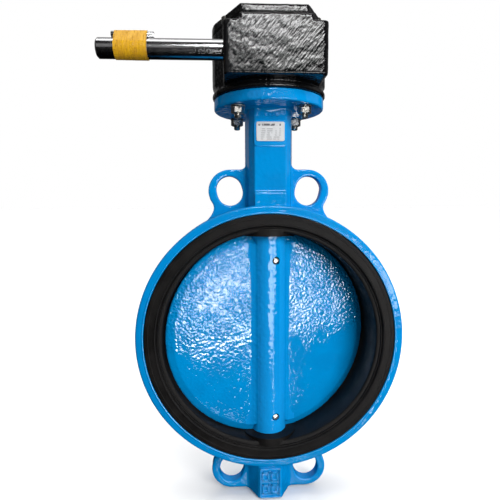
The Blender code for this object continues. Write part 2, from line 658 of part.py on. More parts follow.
def build_cover():
    """Cover and gasket of the gear case, with the screws that hold them."""
    gasket = extruded("cover_gasket", case_outline(0.0006), CASE_TOP + GAP, COVER_LOW - GAP,
                      "black_rubber")
    cut(gasket, rod("window", CASE_CAVITY, *COVER_CUT, "black_rubber", facets=40))
    cover = extruded("gear_cover", case_outline(), COVER_LOW, COVER_TOP, "black_paint")
    cut(cover, rod("indicator_hole", POINTER_HOLE, *COVER_CUT, "black_paint"))
    for x, y in COVER_SCREWS:
        for part in (gasket, cover):
            cut(part, rod("screw_hole", COVER_SCREW_HOLE, *COVER_CUT, "black_paint",
                          place=(x, y, 0), facets=16))
        sink_floor = COVER_TOP - COVER_SINK_DEPTH
        cut(cover, rod("screw_sink", COVER_SINK_RADIUS, sink_floor, COVER_CUT[1], "black_paint",
                       place=(x, y, 0), facets=FINE))
    tidy(gasket)
    tidy(cover)
    for number, (x, y) in enumerate(COVER_SCREWS, 1):
        head_low = COVER_TOP - COVER_SINK_DEPTH + GAP
        head_top = head_low + COVER_HEAD_HEIGHT
        screw = rod(f"cover_screw_{number}", COVER_HEAD_RADIUS, head_low, head_top, "zinc",
                    place=(x, y, 0), facets=FINE)
        shift_to_world(screw)
        join(screw, rod("shank", COVER_SCREW_RADIUS, COVER_SCREW_FOOT, head_low + 0.001, "zinc",
                        place=(x, y, 0), facets=16))
        cut(screw, hexagon("socket", COVER_SOCKET, head_top - 0.0025, head_top + 0.001, "zinc",
                           (x, y, 0)))
        tidy(screw)


def hexagon(name, across_flats, low, high, paint, place=(0, 0, 0), axis="Z", turn=0.0):
    """Hexagonal prism with the given width across its flats."""
    radius = across_flats / 2 / math.cos(math.radians(30))
    outline = arc((0, 0), radius, turn, turn + 300, 5)
    solid = extruded(name, outline, low, high, paint, axis, place)
    shift_to_world(solid)
    return solid


def build_worm_fittings():
    """Bearings, shaft seal and end cap of the worm, and the two stop screws."""
    place = (0, -CENTRE_DISTANCE, WORM_Z)
    outer = BEARING_BORE - GAP
    tidy(ring("shaft_seal", SHAFT_HOLE, outer, -0.0497, -0.0463, "black_rubber", "X", place))
    tidy(ring("worm_bearing_inner", SHAFT_HOLE, outer, -0.0460, -0.0338, "bronze", "X", place))
    tidy(ring("worm_bearing_outer", SHAFT_HOLE, outer, 0.0338, 0.0460, "bronze", "X", place))
    tidy(rod("worm_end_cap", outer, 0.0465, 0.0505, "black_paint", "X", place))
    for name, (side, tip) in STOP_TIPS.items():
        place = (side * STOP_X, 0, WORM_Z)
        screw = rod(f"stop_screw_{name}", STOP_RADIUS, tip, 0.086, "zinc", "Y", place, 0.0006, 20)
        shift_to_world(screw)
        tidy(screw)
        nut = hexagon(f"stop_nut_{name}", 0.016, 0.0693, 0.0768, "zinc", place, "Y")
        cut(nut, rod("nut_hole", STOP_RADIUS + GAP, *STOP_NUT_CUT, "zinc", "Y", place, facets=20))
        tidy(nut)


def build_flange_bolting():
    """Four studs with washers and nuts that hold the operator on the top flange."""
    washer_top = TOP_FLANGE_LOW - GAP
    washer_low = washer_top - 0.0016
    nut_top = washer_low - GAP
    nut_low = nut_top - 0.0065
    corners = {"front_left": (-1, -1), "front_right": (1, -1),
               "back_left": (-1, 1), "back_right": (1, 1)}
    for name, (side, depth) in corners.items():
        place = (side * BOLT_SQUARE, depth * BOLT_SQUARE, 0)
        stud = rod(f"stud_{name}", STUD_RADIUS, nut_low - 0.005, 0.487, "zinc", place=place,
                   chamfer=0.0006, facets=20)
        shift_to_world(stud)
        tidy(stud)
        tidy(ring(f"washer_{name}", STUD_RADIUS + GAP, 0.008, washer_low, washer_top, "zinc",
                  place=place, facets=28))
        nut = hexagon(f"nut_{name}", 0.013, nut_low, nut_top, "zinc", place)
        cut(nut, rod("nut_hole", STUD_RADIUS + GAP, 0.44, 0.47, "zinc", place=place, facets=20))
        tidy(nut)


def build_indicator(carrier):
    """Pointer on top of the cover that shows the disc's position."""
    low = STEM_TOP - DISC_Z + 0.0014
    plate = COVER_TOP - DISC_Z + 0.0004
    profile = [(0, low), (POINTER_HUB, low), (POINTER_HUB, plate), (POINTER_RADIUS, plate),
               (POINTER_RADIUS, plate + 0.0026), (POINTER_RADIUS - 0.0015, plate + 0.0034),
               (0, plate + 0.0034)]
    pointer = turned("position_indicator", profile, "signal")
    bar_z = (plate + 0.002, plate + 0.0056)
    join(pointer, block("bar", (-0.0195, 0.0195), (-0.0035, 0.0035), bar_z, "signal"))
    cut(pointer, rod("screw_hole", 0.0033, low - 0.01, plate + 0.02, "signal", facets=20))
    carry(pointer, carrier)
    head_low = plate + 0.0056 + GAP
    screw = rod("indicator_screw", 0.003, low - 0.012, head_low + 0.001, "zinc", facets=20)
    head = rod("screw_head", 0.0055, head_low, head_low + 0.003, "zinc", chamfer=0.0006, facets=20)
    join(screw, head)
    carry(screw, carrier)


def main():
    """Build the whole valve."""
    clear_scene()
    build_body()
    build_seat()
    build_stem_fittings()
    disc_axis = axis_empty("disc_axis", (0, 0, DISC_Z), DISC_REST_ANGLE)
    build_disc(disc_axis)
    build_stems(disc_axis)
    build_worm_wheel(disc_axis)
    build_indicator(disc_axis)
    input_axis = axis_empty("input_axis", (0, -CENTRE_DISTANCE, WORM_Z))
    build_worm(input_axis)
    build_taped_pin(input_axis)
    build_case()
    build_cover()
    build_worm_fittings()
    build_flange_bolting()


main()
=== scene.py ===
"""Looks of a wafer butterfly valve with a worm gear operator.

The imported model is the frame. Lengths are in metres, +Z runs up the stem, -Y is the
front of the valve and the input shaft points to -X.
"""
import json
import logging
import math
from dataclasses import dataclass
from enum import Enum

import bpy
from mathutils import Matrix, Vector


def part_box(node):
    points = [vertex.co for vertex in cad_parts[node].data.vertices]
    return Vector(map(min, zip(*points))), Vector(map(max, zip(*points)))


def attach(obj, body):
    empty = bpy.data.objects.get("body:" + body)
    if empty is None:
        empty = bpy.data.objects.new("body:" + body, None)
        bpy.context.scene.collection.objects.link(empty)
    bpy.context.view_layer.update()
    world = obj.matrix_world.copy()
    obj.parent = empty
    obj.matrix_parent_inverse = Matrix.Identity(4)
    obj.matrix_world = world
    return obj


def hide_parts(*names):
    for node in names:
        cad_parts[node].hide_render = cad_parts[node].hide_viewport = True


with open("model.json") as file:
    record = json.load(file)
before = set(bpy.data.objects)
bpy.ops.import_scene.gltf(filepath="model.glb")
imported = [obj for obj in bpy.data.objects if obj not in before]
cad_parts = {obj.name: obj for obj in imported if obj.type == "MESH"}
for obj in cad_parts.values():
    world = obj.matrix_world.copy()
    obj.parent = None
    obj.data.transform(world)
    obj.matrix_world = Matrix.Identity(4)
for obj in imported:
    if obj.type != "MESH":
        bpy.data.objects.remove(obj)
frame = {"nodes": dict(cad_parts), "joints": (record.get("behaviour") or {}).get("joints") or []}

LOG = logging.getLogger("valve")
FULL_TURN = 2 * math.pi
SEED_SIZE = 0.001             # plane that a traced line starts from
WELD = 0.00001                # corners nearer than this are one corner
SMOOTH_ANGLE = math.radians(32)
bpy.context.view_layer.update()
Piece = bpy.types.Object
Socket = bpy.types.NodeSocket


def rest_angle() -> float:
    """Opening of the disc at rest in radians, counted from its closed stop."""
    turn = next(joint for joint in frame["joints"] if joint["name"] == "disc_turn")
    return math.radians(-min(turn["range_deg"]))


class Axis(Enum):
    """Direction along which a piece lies."""

    X = (1, 0, 0)
    Y = (0, 1, 0)
    Z = (0, 0, 1)

    def at(self, across: float, up: float, along: float) -> Vector:
        """Point from two coordinates across the axis and one along it.

        Args:
            across: First coordinate across the axis.
            up: Second coordinate across the axis.
            along: Coordinate along the axis.

        Returns:
            The point.
        """
        if self is Axis.X:
            return Vector((along, across, up))
        if self is Axis.Y:
            return Vector((across, along, up))
        return Vector((across, up, along))

    @property
    def way(self) -> Vector:
        """Unit vector along the axis."""
        return Vector(self.value)


def extent(node: str) -> tuple:
    """Lowest corner, highest corner and middle of a CAD node's box."""
    low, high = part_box(node)
    return low, high, (low + high) / 2


def upright(point: Vector) -> Vector:
    """Foot of the upright line through a point."""
    return Vector((point.x, point.y, 0))


def level_span(middle: float, level: int, near: float, far: float) -> list:
    """Lower and upper height between two distances above (1) or below (-1) a middle."""
    return sorted((middle + level * near, middle + level * far))


def mirrored(points: list) -> list:
    """Points in reverse with their second coordinate turned over, for a profile's other half."""
    return [(first, -second) for first, second in reversed(points)]


def arc(centre: tuple, radius: float, start: float, end: float, steps: int) -> list:
    """Points on an arc, for an outline.

    Args:
        centre: The arc's centre, as two coordinates.
        radius: Radius of the arc.
        start: First angle in degrees.
        end: Last angle in degrees.
        steps: Number of straight steps.

    Returns:
        The points, first and last included.
    """
    angles = [math.radians(start + (end - start) * i / steps) for i in range(steps + 1)]
    return [(centre[0] + radius * math.cos(a), centre[1] + radius * math.sin(a)) for a in angles]


def curve(first: tuple, pull: tuple, last: tuple, steps: int) -> list:
    """Points on a curve that leaves and meets its ends towards one pulling point.

    Args:
        first: Start of the curve.
        pull: Point that bends the curve.
        last: End of the curve.
        steps: Number of straight steps.

    Returns:
        The points, first and last included.
    """
    points = []
    for i in range(steps + 1):
        t = i / steps
        weights = ((1 - t) ** 2, 2 * t * (1 - t), t ** 2)
        points.append(tuple(sum(w * p[k] for w, p in zip(weights, (first, pull, last)))
                            for k in range(2)))
    return points


def rounded(middle: tuple, half_width: float, half_height: float, corner: float) -> list:
    """Outline of a rectangle with rounded corners.

    Args:
        middle: The rectangle's middle, as two coordinates.
        half_width: Half of its width.
        half_height: Half of its height.
        corner: Radius of its corners.

    Returns:
        The points, anticlockwise from the right side.
    """
    outline = []
    for turn, (x, z) in enumerate(((1, 1), (-1, 1), (-1, -1), (1, -1))):
        centre = (middle[0] + x * (half_width - corner), middle[1] + z * (half_height - corner))
        outline += arc(centre, corner, 90 * turn, 90 * turn + 90, 4)
    return outline


def bead(radius: float, face: float, width: float, height: float) -> list:
    """Profile points of a round raised bead on the front face of a turned ring.

    Args:
        radius: Radius at the bead's middle.
        face: Place of the plain face along the axis.
        width: Width of the bead.
        height: Height of the bead, towards the front.

    Returns:
        Points from the outer foot to the inner foot.
    """
    steps = 6
    spread = [math.pi * i / steps for i in range(steps + 1)]
    return [(radius + width / 2 * math.cos(a), face - height * math.sin(a)) for a in spread]


# ------------------------------------------------------------------ modelling
class Bench:
    """Modelling steps, made as by hand in object mode and edit mode."""

    @staticmethod
    def clear() -> None:
        """Leave edit mode and deselect everything."""
        if bpy.context.object is not None and bpy.context.object.mode != "OBJECT":
            bpy.ops.object.mode_set(mode="OBJECT")
        bpy.ops.object.select_all(action="DESELECT")

    @classmethod
    def pick(cls, piece: Piece) -> None:
        """Select one piece alone and make it the active one."""
        cls.clear()
        piece.select_set(True)
        bpy.context.view_layer.objects.active = piece

    @classmethod
    def _named(cls, name: str) -> Piece:
        """Name the new primitive and put its place into its mesh.

        Args:
            name: Name of the piece.

        Returns:
            The piece.
        """
        piece = bpy.context.object
        piece.name = name
        bpy.ops.object.transform_apply(location=True, rotation=True, scale=True)
        return piece

    @classmethod
    def block(cls, name: str, low: tuple, high: tuple, edge: float = 0.0) -> Piece:
        """Block between two corners, with its edges rounded.

        Args:
            name: Name of the piece.
            low: Lowest corner.
            high: Highest corner.
            edge: Radius of the rounded edges; none at 0.

        Returns:
            The block.
        """
        low, high = Vector(low), Vector(high)
        cls.clear()
        bpy.ops.mesh.primitive_cube_add(size=1, location=(low + high) / 2, scale=high - low)
        piece = cls._named(name)
        if edge:
            bpy.ops.object.mode_set(mode="EDIT")
            bpy.ops.mesh.select_all(action="SELECT")
            bpy.ops.mesh.bevel(offset=edge, segments=3, affect="EDGES")
            bpy.ops.object.mode_set(mode="OBJECT")
        return piece

    @classmethod
    def trace(cls, name: str, points: list) -> Piece:
        """Line drawn point by point, left in edit mode with all of it selected.

        Args:
            name: Name of the piece.
            points: The line's points, in order.

        Returns:
            The open line.
        """
        cls.clear()
        bpy.ops.mesh.primitive_plane_add(size=SEED_SIZE, location=points[0])
        piece = cls._named(name)
        bpy.ops.object.mode_set(mode="EDIT")
        bpy.ops.mesh.select_mode(type="VERT")
        bpy.ops.mesh.select_all(action="SELECT")
        bpy.ops.mesh.merge(type="CENTER")
        for here, there in zip(points, points[1:]):
            bpy.ops.mesh.extrude_vertices_move(TRANSFORM_OT_translate={"value": there - here})
        bpy.ops.mesh.select_all(action="SELECT")
        return piece

    @classmethod
    def _close(cls) -> None:
        """Merge seams and poles of the mesh being edited and turn its faces outwards."""
        bpy.ops.mesh.select_all(action="SELECT")
        bpy.ops.mesh.remove_doubles(threshold=WELD)
        bpy.ops.mesh.normals_make_consistent(inside=False)
        bpy.ops.object.mode_set(mode="OBJECT")

    @classmethod
    def turned(cls, name: str, profile: list, axis: Axis, centre: Vector = Vector((0, 0, 0)),
               steps: int = 64) -> Piece:
        """Solid of revolution from a profile of (radius, place along the axis) points.

        Args:
            name: Name of the piece.
            profile: The profile's points. It is closed from last to first off the axis.
            axis: Axis of the turning.
            centre: Point on the axis from which the places count.
            steps: Number of steps round.

        Returns:
            The closed solid.
        """
        points = [centre + axis.at(radius, 0, along) for radius, along in profile]
        if profile[0][0] or profile[-1][0]:
            points.append(points[0])
        piece = cls.trace(name, points)
        bpy.ops.mesh.spin(steps=steps, angle=FULL_TURN, center=centre, axis=axis.way)
        cls._close()
        return piece

    @classmethod
    def rod(cls, name: str, radius: float, low: float, high: float, axis: Axis,
            centre: Vector = Vector((0, 0, 0)), steps: int = 40) -> Piece:
        """Plain round rod, for holes and for shapes that are joined to others."""
        profile = [(0, low), (radius, low), (radius, high), (0, high)]
        return cls.turned(name, profile, axis, centre, steps)

    @classmethod
    def pushed(cls, name: str, outline: list, axis: Axis, low: float, high: float,
               parts: int = 1) -> Piece:
        """Flat outline pushed along an axis into a solid.

        Args:
            name: Name of the piece.
            outline: Points across the axis.
            axis: Axis of the push.
            low: Place of the first face.
            high: Place of the last face.
            parts: Number of pushes that share the length.

        Returns:
            The closed solid.
        """
        points = [axis.at(a, b, low) for a, b in outline]
        piece = cls.trace(name, points + points[:1])
        bpy.ops.mesh.remove_doubles(threshold=WELD)
        bpy.ops.mesh.edge_face_add()
        for _ in range(parts):
            push = axis.way * ((high - low) / parts)
            bpy.ops.mesh.extrude_region_move(TRANSFORM_OT_translate={"value": push})
        cls._close()
        return piece

    @classmethod
    def _modify(cls, piece: Piece, kind: str, **settings: object) -> None:
        """Add a modifier with its settings and apply it.

        Args:
            piece: The piece.
            kind: The modifier's type.
            settings: Names and values of its settings.
        """
        cls.pick(piece)
        modifier = piece.modifiers.new(kind.lower(), kind)
        for key, value in settings.items():
            setattr(modifier, key, value)
        bpy.ops.object.modifier_apply(modifier=modifier.name)

    @classmethod
    def combine(cls, piece: Piece, operation: str, *tools: Piece) -> None:
        """Join, cut or trim a piece with others, which are used up.

        Args:
            piece: The piece that stays.
            operation: The Boolean modifier's operation.
            tools: The others.
        """
        for tool in tools:
            cls._modify(piece, "BOOLEAN", operation=operation, solver="EXACT", object=tool)
            bpy.data.objects.remove(tool)

    @classmethod
    def join(cls, piece: Piece, *others: Piece) -> None:
        """Make one solid of several."""
        cls.combine(piece, "UNION", *others)

    @classmethod
    def cut(cls, piece: Piece, *tools: Piece) -> None:
        """Take the tools' shapes out of a piece."""
        cls.combine(piece, "DIFFERENCE", *tools)

    @classmethod
    def gather(cls, name: str, pieces: list) -> Piece:
        """Put several loose shapes into one object.

        Args:
            name: Name of the object.
            pieces: The shapes.

        Returns:
            The one object.
        """
        cls.clear()
        for piece in pieces:
            piece.select_set(True)
        bpy.context.view_layer.objects.active = pieces[0]
        bpy.ops.object.join()
        pieces[0].name = name
        return pieces[0]

    @classmethod
    def cast(cls, piece: Piece, grain: float, passes: int) -> None:
        """Fuse overlapping shapes into one soft casting.

        Args:
            piece: The piece.
            grain: Size of the new mesh's squares.
            passes: Rounds of smoothing, which round the corners.
        """
        cls._modify(piece, "REMESH", mode="VOXEL", voxel_size=grain, use_smooth_shade=True)
        cls._modify(piece, "SMOOTH", factor=0.5, iterations=passes)

    @classmethod
    def lumps(cls, piece: Piece, size: float, depth: float) -> None:
        """Raise and lower a fine mesh as sand and thick paint do.

        Args:
            piece: The piece.
            size: Rough size of a lump.
            depth: Height between hollows and lumps.
        """
        cloud = bpy.data.textures.new("sand", "CLOUDS")
        cloud.noise_scale = size
        cls._modify(piece, "DISPLACE", texture=cloud, strength=depth, mid_level=0.5,
                    texture_coords="LOCAL")
        bpy.data.textures.remove(cloud)

    @classmethod
    def round_edges(cls, piece: Piece, width: float, segments: int = 2) -> None:
        """Round the sharp edges of a clean piece."""
        cls._modify(piece, "BEVEL", width=width, segments=segments, limit_method="ANGLE",
                    angle_limit=SMOOTH_ANGLE)

    @classmethod
    def swing(cls, piece: Piece, angle: float) -> None:
        """Turn a piece about the stem axis, in radians.

        Args:
            piece: The piece, in place.
            angle: The turn in radians, anticlockwise from above.
        """
        cls.pick(piece)
        piece.rotation_euler = (0, 0, angle)
        bpy.ops.object.transform_apply(location=True, rotation=True, scale=True)

    @classmethod
    def copy(cls, piece: Piece, name: str, shift: Vector) -> Piece:
        """Copy of a piece with its own mesh, at another place.

        Args:
            piece: The piece to copy.
            name: Name of the copy.
            shift: Way from the piece to its copy.

        Returns:
            The copy.
        """
        cls.pick(piece)
        bpy.ops.object.duplicate()
        twin = bpy.context.object
        twin.location = shift
        return cls._named(name)

    @classmethod
    def smooth(cls, piece: Piece) -> Piece:
        """Shade curved stretches smooth, leave sharp edges sharp and hand the piece back."""
        cls.pick(piece)
        bpy.ops.object.shade_smooth_by_angle(angle=SMOOTH_ANGLE)
        return piece


# ------------------------------------------------------------------ materials
class Amount:
    """A number that varies over a surface, used in ordinary sums."""

    def __init__(self, socket: Socket) -> None:
        """Wrap the output socket that gives the number."""
        self.socket = socket

    def maths(self, operation: str, *terms: object) -> "Amount":
        """Number worked out by one Math node.

        Args:
            operation: The Math node's operation.
            terms: Amounts or plain numbers, in the node's order.

        Returns:
            The result.
        """
        tree = self.socket.id_data
        node = tree.nodes.new("ShaderNodeMath")
        node.operation = operation
        for place, term in zip(node.inputs, terms):
            if isinstance(term, Amount):
                tree.links.new(term.socket, place)
            else:
                place.default_value = term
        return Amount(node.outputs[0])

    def __add__(self, other: object) -> "Amount":
        """Sum."""
        return self.maths("ADD", self, other)

    def __sub__(self, other: object) -> "Amount":
        """Difference."""
        return self.maths("SUBTRACT", self, other)

    def __rsub__(self, other: object) -> "Amount":
        """Difference from a plain number."""
        return self.maths("SUBTRACT", other, self)

    def __mul__(self, other: object) -> "Amount":
        """Product."""
        return self.maths("MULTIPLY", self, other)

    def __abs__(self) -> "Amount":
        """Size without its sign."""
        return self.maths("ABSOLUTE", self)

    __radd__ = __add__
    __rmul__ = __mul__

    def below(self, limit: float) -> "Amount":
        """1 where the number is below a limit and 0 elsewhere."""
        return self.maths("LESS_THAN", self, limit)

    def fraction(self) -> "Amount":
        """Part behind the decimal point."""
        return self.maths("FRACT", self)


class Wiring:
    """Node tree of a material or of the air round the valve."""

    def __init__(self, owner: bpy.types.ID) -> None:
        """Switch on the owner's nodes."""
        owner.use_nodes = True
        self.tree = owner.node_tree

    def node(self, kind: str, settings: dict, inputs: dict) -> bpy.types.Node:
        """Node of a type, with its settings made before its sockets.

        Args:
            kind: The node's type.
            settings: Names and values of the node's own settings.
            inputs: Names or numbers of sockets, with values, Amounts or sockets.

        Returns:
            The new node.
        """
        node = self.tree.nodes.new(kind)
        for key, value in settings.items():
            setattr(node, key, value)
        for key, value in inputs.items():
            self.feed(node.inputs[key], value)
        return node

    def feed(self, socket: Socket, value: object) -> None:
        """Link a socket, or set it where the value is plain.

        Args:
            socket: Input socket of a node.
            value: Amount, output socket or plain value.
        """
        if isinstance(value, Amount):
            value = value.socket
        if isinstance(value, Socket):
            self.tree.links.new(value, socket)
        else:
            socket.default_value = value

    def step(self, amount: Amount, low: float, high: float, least: float = 0.0) -> Amount:
        """1 above high, the least value below low, and soft between them.

        Args:
            amount: The number that is read.
            low: Its value where the result starts to rise.
            high: Its value where the result is 1.
            least: Result below low.

        Returns:
            The result.
        """
        inputs = {"Value": amount, "From Min": low, "From Max": high, "To Min": least}
        settings = {"interpolation_type": "SMOOTHSTEP"}
        return Amount(self.node("ShaderNodeMapRange", settings, inputs).outputs[0])

    def parts(self, place: Socket) -> tuple:
        """Three coordinates of a place."""
        split = self.node("ShaderNodeSeparateXYZ", {}, {0: place})
        return tuple(Amount(socket) for socket in split.outputs)


class Recipe(Wiring):
    """Node material while it is put together."""

    def __init__(self, name: str) -> None:
        """Start a material with an empty Principled shader."""
        self.material = bpy.data.materials.new(name)
        super().__init__(self.material)
        self.shader = self.tree.nodes["Principled BSDF"]
        self.place = self.node("ShaderNodeTexCoord", {}, {}).outputs["Object"]

    def spread(self, stretch: tuple, shift: tuple = (0, 0, 0)) -> Socket:
        """Place on the piece, stretched and shifted by a Mapping node."""
        return self.node("ShaderNodeMapping", {}, {"Vector": self.place, "Location": shift,
                                                   "Scale": stretch}).outputs[0]

    def noise(self, place: Socket, size: float, detail: float) -> Amount:
        """Soft noise at a place, with spots of a size."""
        inputs = {"Vector": place, "Scale": 1 / size, "Detail": detail}
        return Amount(self.node("ShaderNodeTexNoise", {}, inputs).outputs[0])

    def grain(self, size: float, stretch: tuple = (1, 1, 1), detail: float = 2.0) -> Amount:
        """Soft random pattern.

        Args:
            size: Rough size of its spots.
            stretch: Number of times finer along each axis.
            detail: Amount of finer detail in it.

        Returns:
            A number from about 0.3 to 0.7.
        """
        return self.noise(self.spread(stretch), size, detail)

    def strokes(self, size: float, lean: float, stretch: float) -> Amount:
        """Random pattern drawn out into long strokes that lean on the front face.

        Args:
            size: Width of a stroke.
            lean: Turn of the strokes about the Y axis, in radians.
            stretch: Length of a stroke over its width.

        Returns:
            A number from about 0.3 to 0.7.
        """
        place = self.node("ShaderNodeMapping", {"vector_type": "TEXTURE"},
                          {"Vector": self.place, "Rotation": (0, lean, 0),
                           "Scale": (stretch, 1, 1)}).outputs[0]
        return self.noise(place, size, 2.0)

    def tint(self, mask: Amount, plain: object, masked: object) -> Socket:
        """Colour that goes from plain to masked with the mask."""
        inputs = {"Factor": mask, 6: plain, 7: masked}
        return self.node("ShaderNodeMix", {"data_type": "RGBA"}, inputs).outputs[2]

    def painted_edge_highlight(self) -> Amount:
        """Painted highlight mask: 1 on outer edges and 0 on flats and in hollows."""
        shape = self.node("ShaderNodeNewGeometry", {}, {})
        return self.step(Amount(shape.outputs["Pointiness"]), 0.515, 0.56)

    def relief(self, height: Amount, depth: float) -> Socket:
        """Normal of a surface with the given relief."""
        inputs = {"Height": height, "Distance": depth, "Strength": 1.0}
        return self.node("ShaderNodeBump", {}, inputs).outputs[0]

    def dress(self, **inputs: object) -> bpy.types.Material:
        """Feed the shader, whose sockets are named with _ for a space.

        Args:
            inputs: Values, Amounts or sockets under their sockets' names.

        Returns:
            The finished material.
        """
        for key, value in inputs.items():
            self.feed(self.shader.inputs[key.replace("_", " ")], value)
        return self.material


def opaque(red: float, green: float, blue: float) -> tuple:
    """Colour with full cover."""
    return (red, green, blue, 1.0)


@dataclass(frozen=True)
class Enamel:
    """Thick gloss paint on a sand casting."""

    name: str
    colour: tuple
    shade: tuple
    roughness: float
    peel_size: float
    peel_depth: float
    brushed: float = 0.0
    calm_below: float = -1.0

    def material(self) -> bpy.types.Material:
        """Build the node material."""
        recipe = Recipe(self.name)
        peel = recipe.grain(self.peel_size, detail=0.6)
        sand = recipe.grain(self.peel_size / 3, detail=2.0)
        pools = recipe.step(recipe.grain(0.03, detail=4), 0.38, 0.62)
        patches = recipe.step(recipe.grain(0.05), 0.35, 0.6)
        # Painted highlight: outer edges are tinted lighter where light would catch them.
        edges = recipe.painted_edge_highlight()
        colour = recipe.tint(pools * 0.6, self.colour, self.shade)
        light = tuple(min(1.0, c * 1.25 + 0.01) for c in self.colour[:3]) + (1.0,)
        colour = recipe.tint(edges * 0.5, colour, light)
        height = (peel * 0.94 + sand * 0.06) * (0.55 + 0.45 * patches)
        if self.calm_below > 0:
            drift = recipe.grain(0.02) * 0.05 - 0.025
            high = recipe.step(recipe.parts(recipe.place)[2] + drift, self.calm_below - 0.02,
                               self.calm_below + 0.02)
            height = height * (0.12 + 0.88 * high)
        if self.brushed:
            brush = recipe.strokes(self.peel_size * 0.5, math.radians(-52), 6.0)
            height = height * (1 - self.brushed) + brush * self.brushed
        return recipe.dress(Base_Color=colour, Normal=recipe.relief(height, self.peel_depth),
                            Roughness=self.roughness + pools * 0.03)


@dataclass(frozen=True)
class Rubber:
    """Moulded black rubber with a dull bloom."""

    name: str
    colour: tuple = opaque(0.0045, 0.0042, 0.0042)
    bloom: tuple = opaque(0.009, 0.0082, 0.0080)

    def material(self) -> bpy.types.Material:
        """Build the node material."""
        recipe = Recipe(self.name)
        cloud = recipe.step(recipe.grain(0.018, detail=5), 0.35, 0.68)
        dust = recipe.step(recipe.grain(0.0011, detail=2), 0.62, 0.72)
        skin = recipe.grain(0.0009, detail=3)
        colour = recipe.tint(cloud, self.colour, self.bloom)
        colour = recipe.tint(dust * 0.2, colour, opaque(0.035, 0.032, 0.030))
        return recipe.dress(Base_Color=colour, Roughness=0.44 + cloud * 0.14,
                            Normal=recipe.relief(skin, 0.00010), Specular_IOR_Level=0.13)


@dataclass(frozen=True)
class TurnedSteel:
    """Bright steel with the fine rings of a lathe tool."""

    name: str
    axis: Axis
    colour: tuple = opaque(0.60, 0.60, 0.61)
    roughness: float = 0.16

    def material(self) -> bpy.types.Material:
        """Build the node material."""
        recipe = Recipe(self.name)
        rings = recipe.grain(0.03, tuple(70 if along else 1 for along in self.axis.value), 2)
        stain = recipe.step(recipe.grain(0.009, detail=5), 0.45, 0.72)
        colour = recipe.tint(stain * 0.5, self.colour, opaque(0.40, 0.39, 0.38))
        return recipe.dress(Base_Color=colour, Metallic=1.0, Normal=recipe.relief(rings, 0.00002),
                            Roughness=self.roughness + stain * 0.07 + rings * 0.06)


@dataclass(frozen=True)
class Metal:
    """Cast, rolled or plated metal with a mottled surface."""

    name: str
    colour: tuple
    tarnish: tuple
    roughness: float
    spot: float

    def material(self) -> bpy.types.Material:
        """Build the node material."""
        recipe = Recipe(self.name)
        mottle = recipe.step(recipe.grain(self.spot, detail=5), 0.38, 0.66)
        pits = recipe.grain(self.spot / 4, detail=3)
        colour = recipe.tint(mottle, self.colour, self.tarnish)
        return recipe.dress(Base_Color=colour, Metallic=1.0, Normal=recipe.relief(pits, 0.00008),
                            Roughness=self.roughness + mottle * 0.18)


@dataclass(frozen=True)
class Plastic:
    """Moulded plastic with a fine eroded skin."""

    name: str
    colour: tuple
    shade: tuple
    roughness: float

    def material(self) -> bpy.types.Material:
        """Build the node material."""
        recipe = Recipe(self.name)
        cloud = recipe.step(recipe.grain(0.012, detail=4), 0.35, 0.65)
        skin = recipe.grain(0.0006, detail=2)
        return recipe.dress(Base_Color=recipe.tint(cloud, self.colour, self.shade),
                            Roughness=self.roughness + cloud * 0.1,
                            Normal=recipe.relief(skin, 0.00005))


@dataclass(frozen=True)
class TapeFilm:
    """Stretched adhesive tape with creases round the shaft, painted darker along the creases as
    shade.
    """

    name: str

    def material(self) -> bpy.types.Material:
        """Build the node material."""
        recipe = Recipe(self.name)
        creases = recipe.grain(0.020, (11, 0.6, 0.6), detail=1.5)
        crease_relief_and_shade = recipe.step(abs(creases - 0.5), 0.0, 0.012)
        cloud = recipe.step(recipe.grain(0.01, (2, 1, 1), detail=4), 0.35, 0.65)
        colour = recipe.tint(cloud, opaque(0.72, 0.385, 0.002), opaque(0.62, 0.31, 0.001))
        # Painted shade: the colour turns dark brown along the crease lines.
        colour = recipe.tint((1 - crease_relief_and_shade) * 0.7, colour, opaque(0.24, 0.10, 0.002))
        height = creases * 0.5 + crease_relief_and_shade * 0.5
        return recipe.dress(Base_Color=colour, Roughness=0.34 + cloud * 0.12,
                            Normal=recipe.relief(height, 0.0004))


@dataclass(frozen=True)
class PrintedFoil:
    """White foil plate with plain grey rows that say nothing."""

    name: str
    centre: Vector
    half_width: float
    half_height: float
    row_pitch: float = 0.0022

    def material(self) -> bpy.types.Material:
        """Build the node material."""
        recipe = Recipe(self.name)
        place = recipe.spread((1, 1, 1), tuple(-self.centre))
        across, _, up = recipe.parts(place)
        rows = (up * (1 / self.row_pitch)).fraction().below(0.42)
        gaps = recipe.step(recipe.grain(0.004, (1.6, 1, 0.35), detail=5), 0.44, 0.48)
        body = abs(up + 0.0022).below(self.half_height * 0.62) * abs(across).below(
            self.half_width * 0.72)
        head = abs(up - self.half_height * 0.68).below(0.0011) * abs(across + 0.001).below(
            self.half_width * 0.8)
        ink = rows * gaps * body * 0.55 + head * gaps * 0.9
        dirt = recipe.step(recipe.grain(0.006, detail=4), 0.45, 0.75)
        colour = recipe.tint(dirt * 0.3, opaque(0.58, 0.59, 0.60), opaque(0.45, 0.45, 0.44))
        colour = recipe.tint(ink, colour, opaque(0.05, 0.05, 0.06))
        return recipe.dress(Base_Color=colour, Roughness=0.35 + dirt * 0.15,
                            Normal=recipe.relief(recipe.grain(0.003), 0.00008))


@dataclass(frozen=True)
class Coat:
    """Finished material and the record's slot that it fills."""

    material: bpy.types.Material
    slot: str = ""


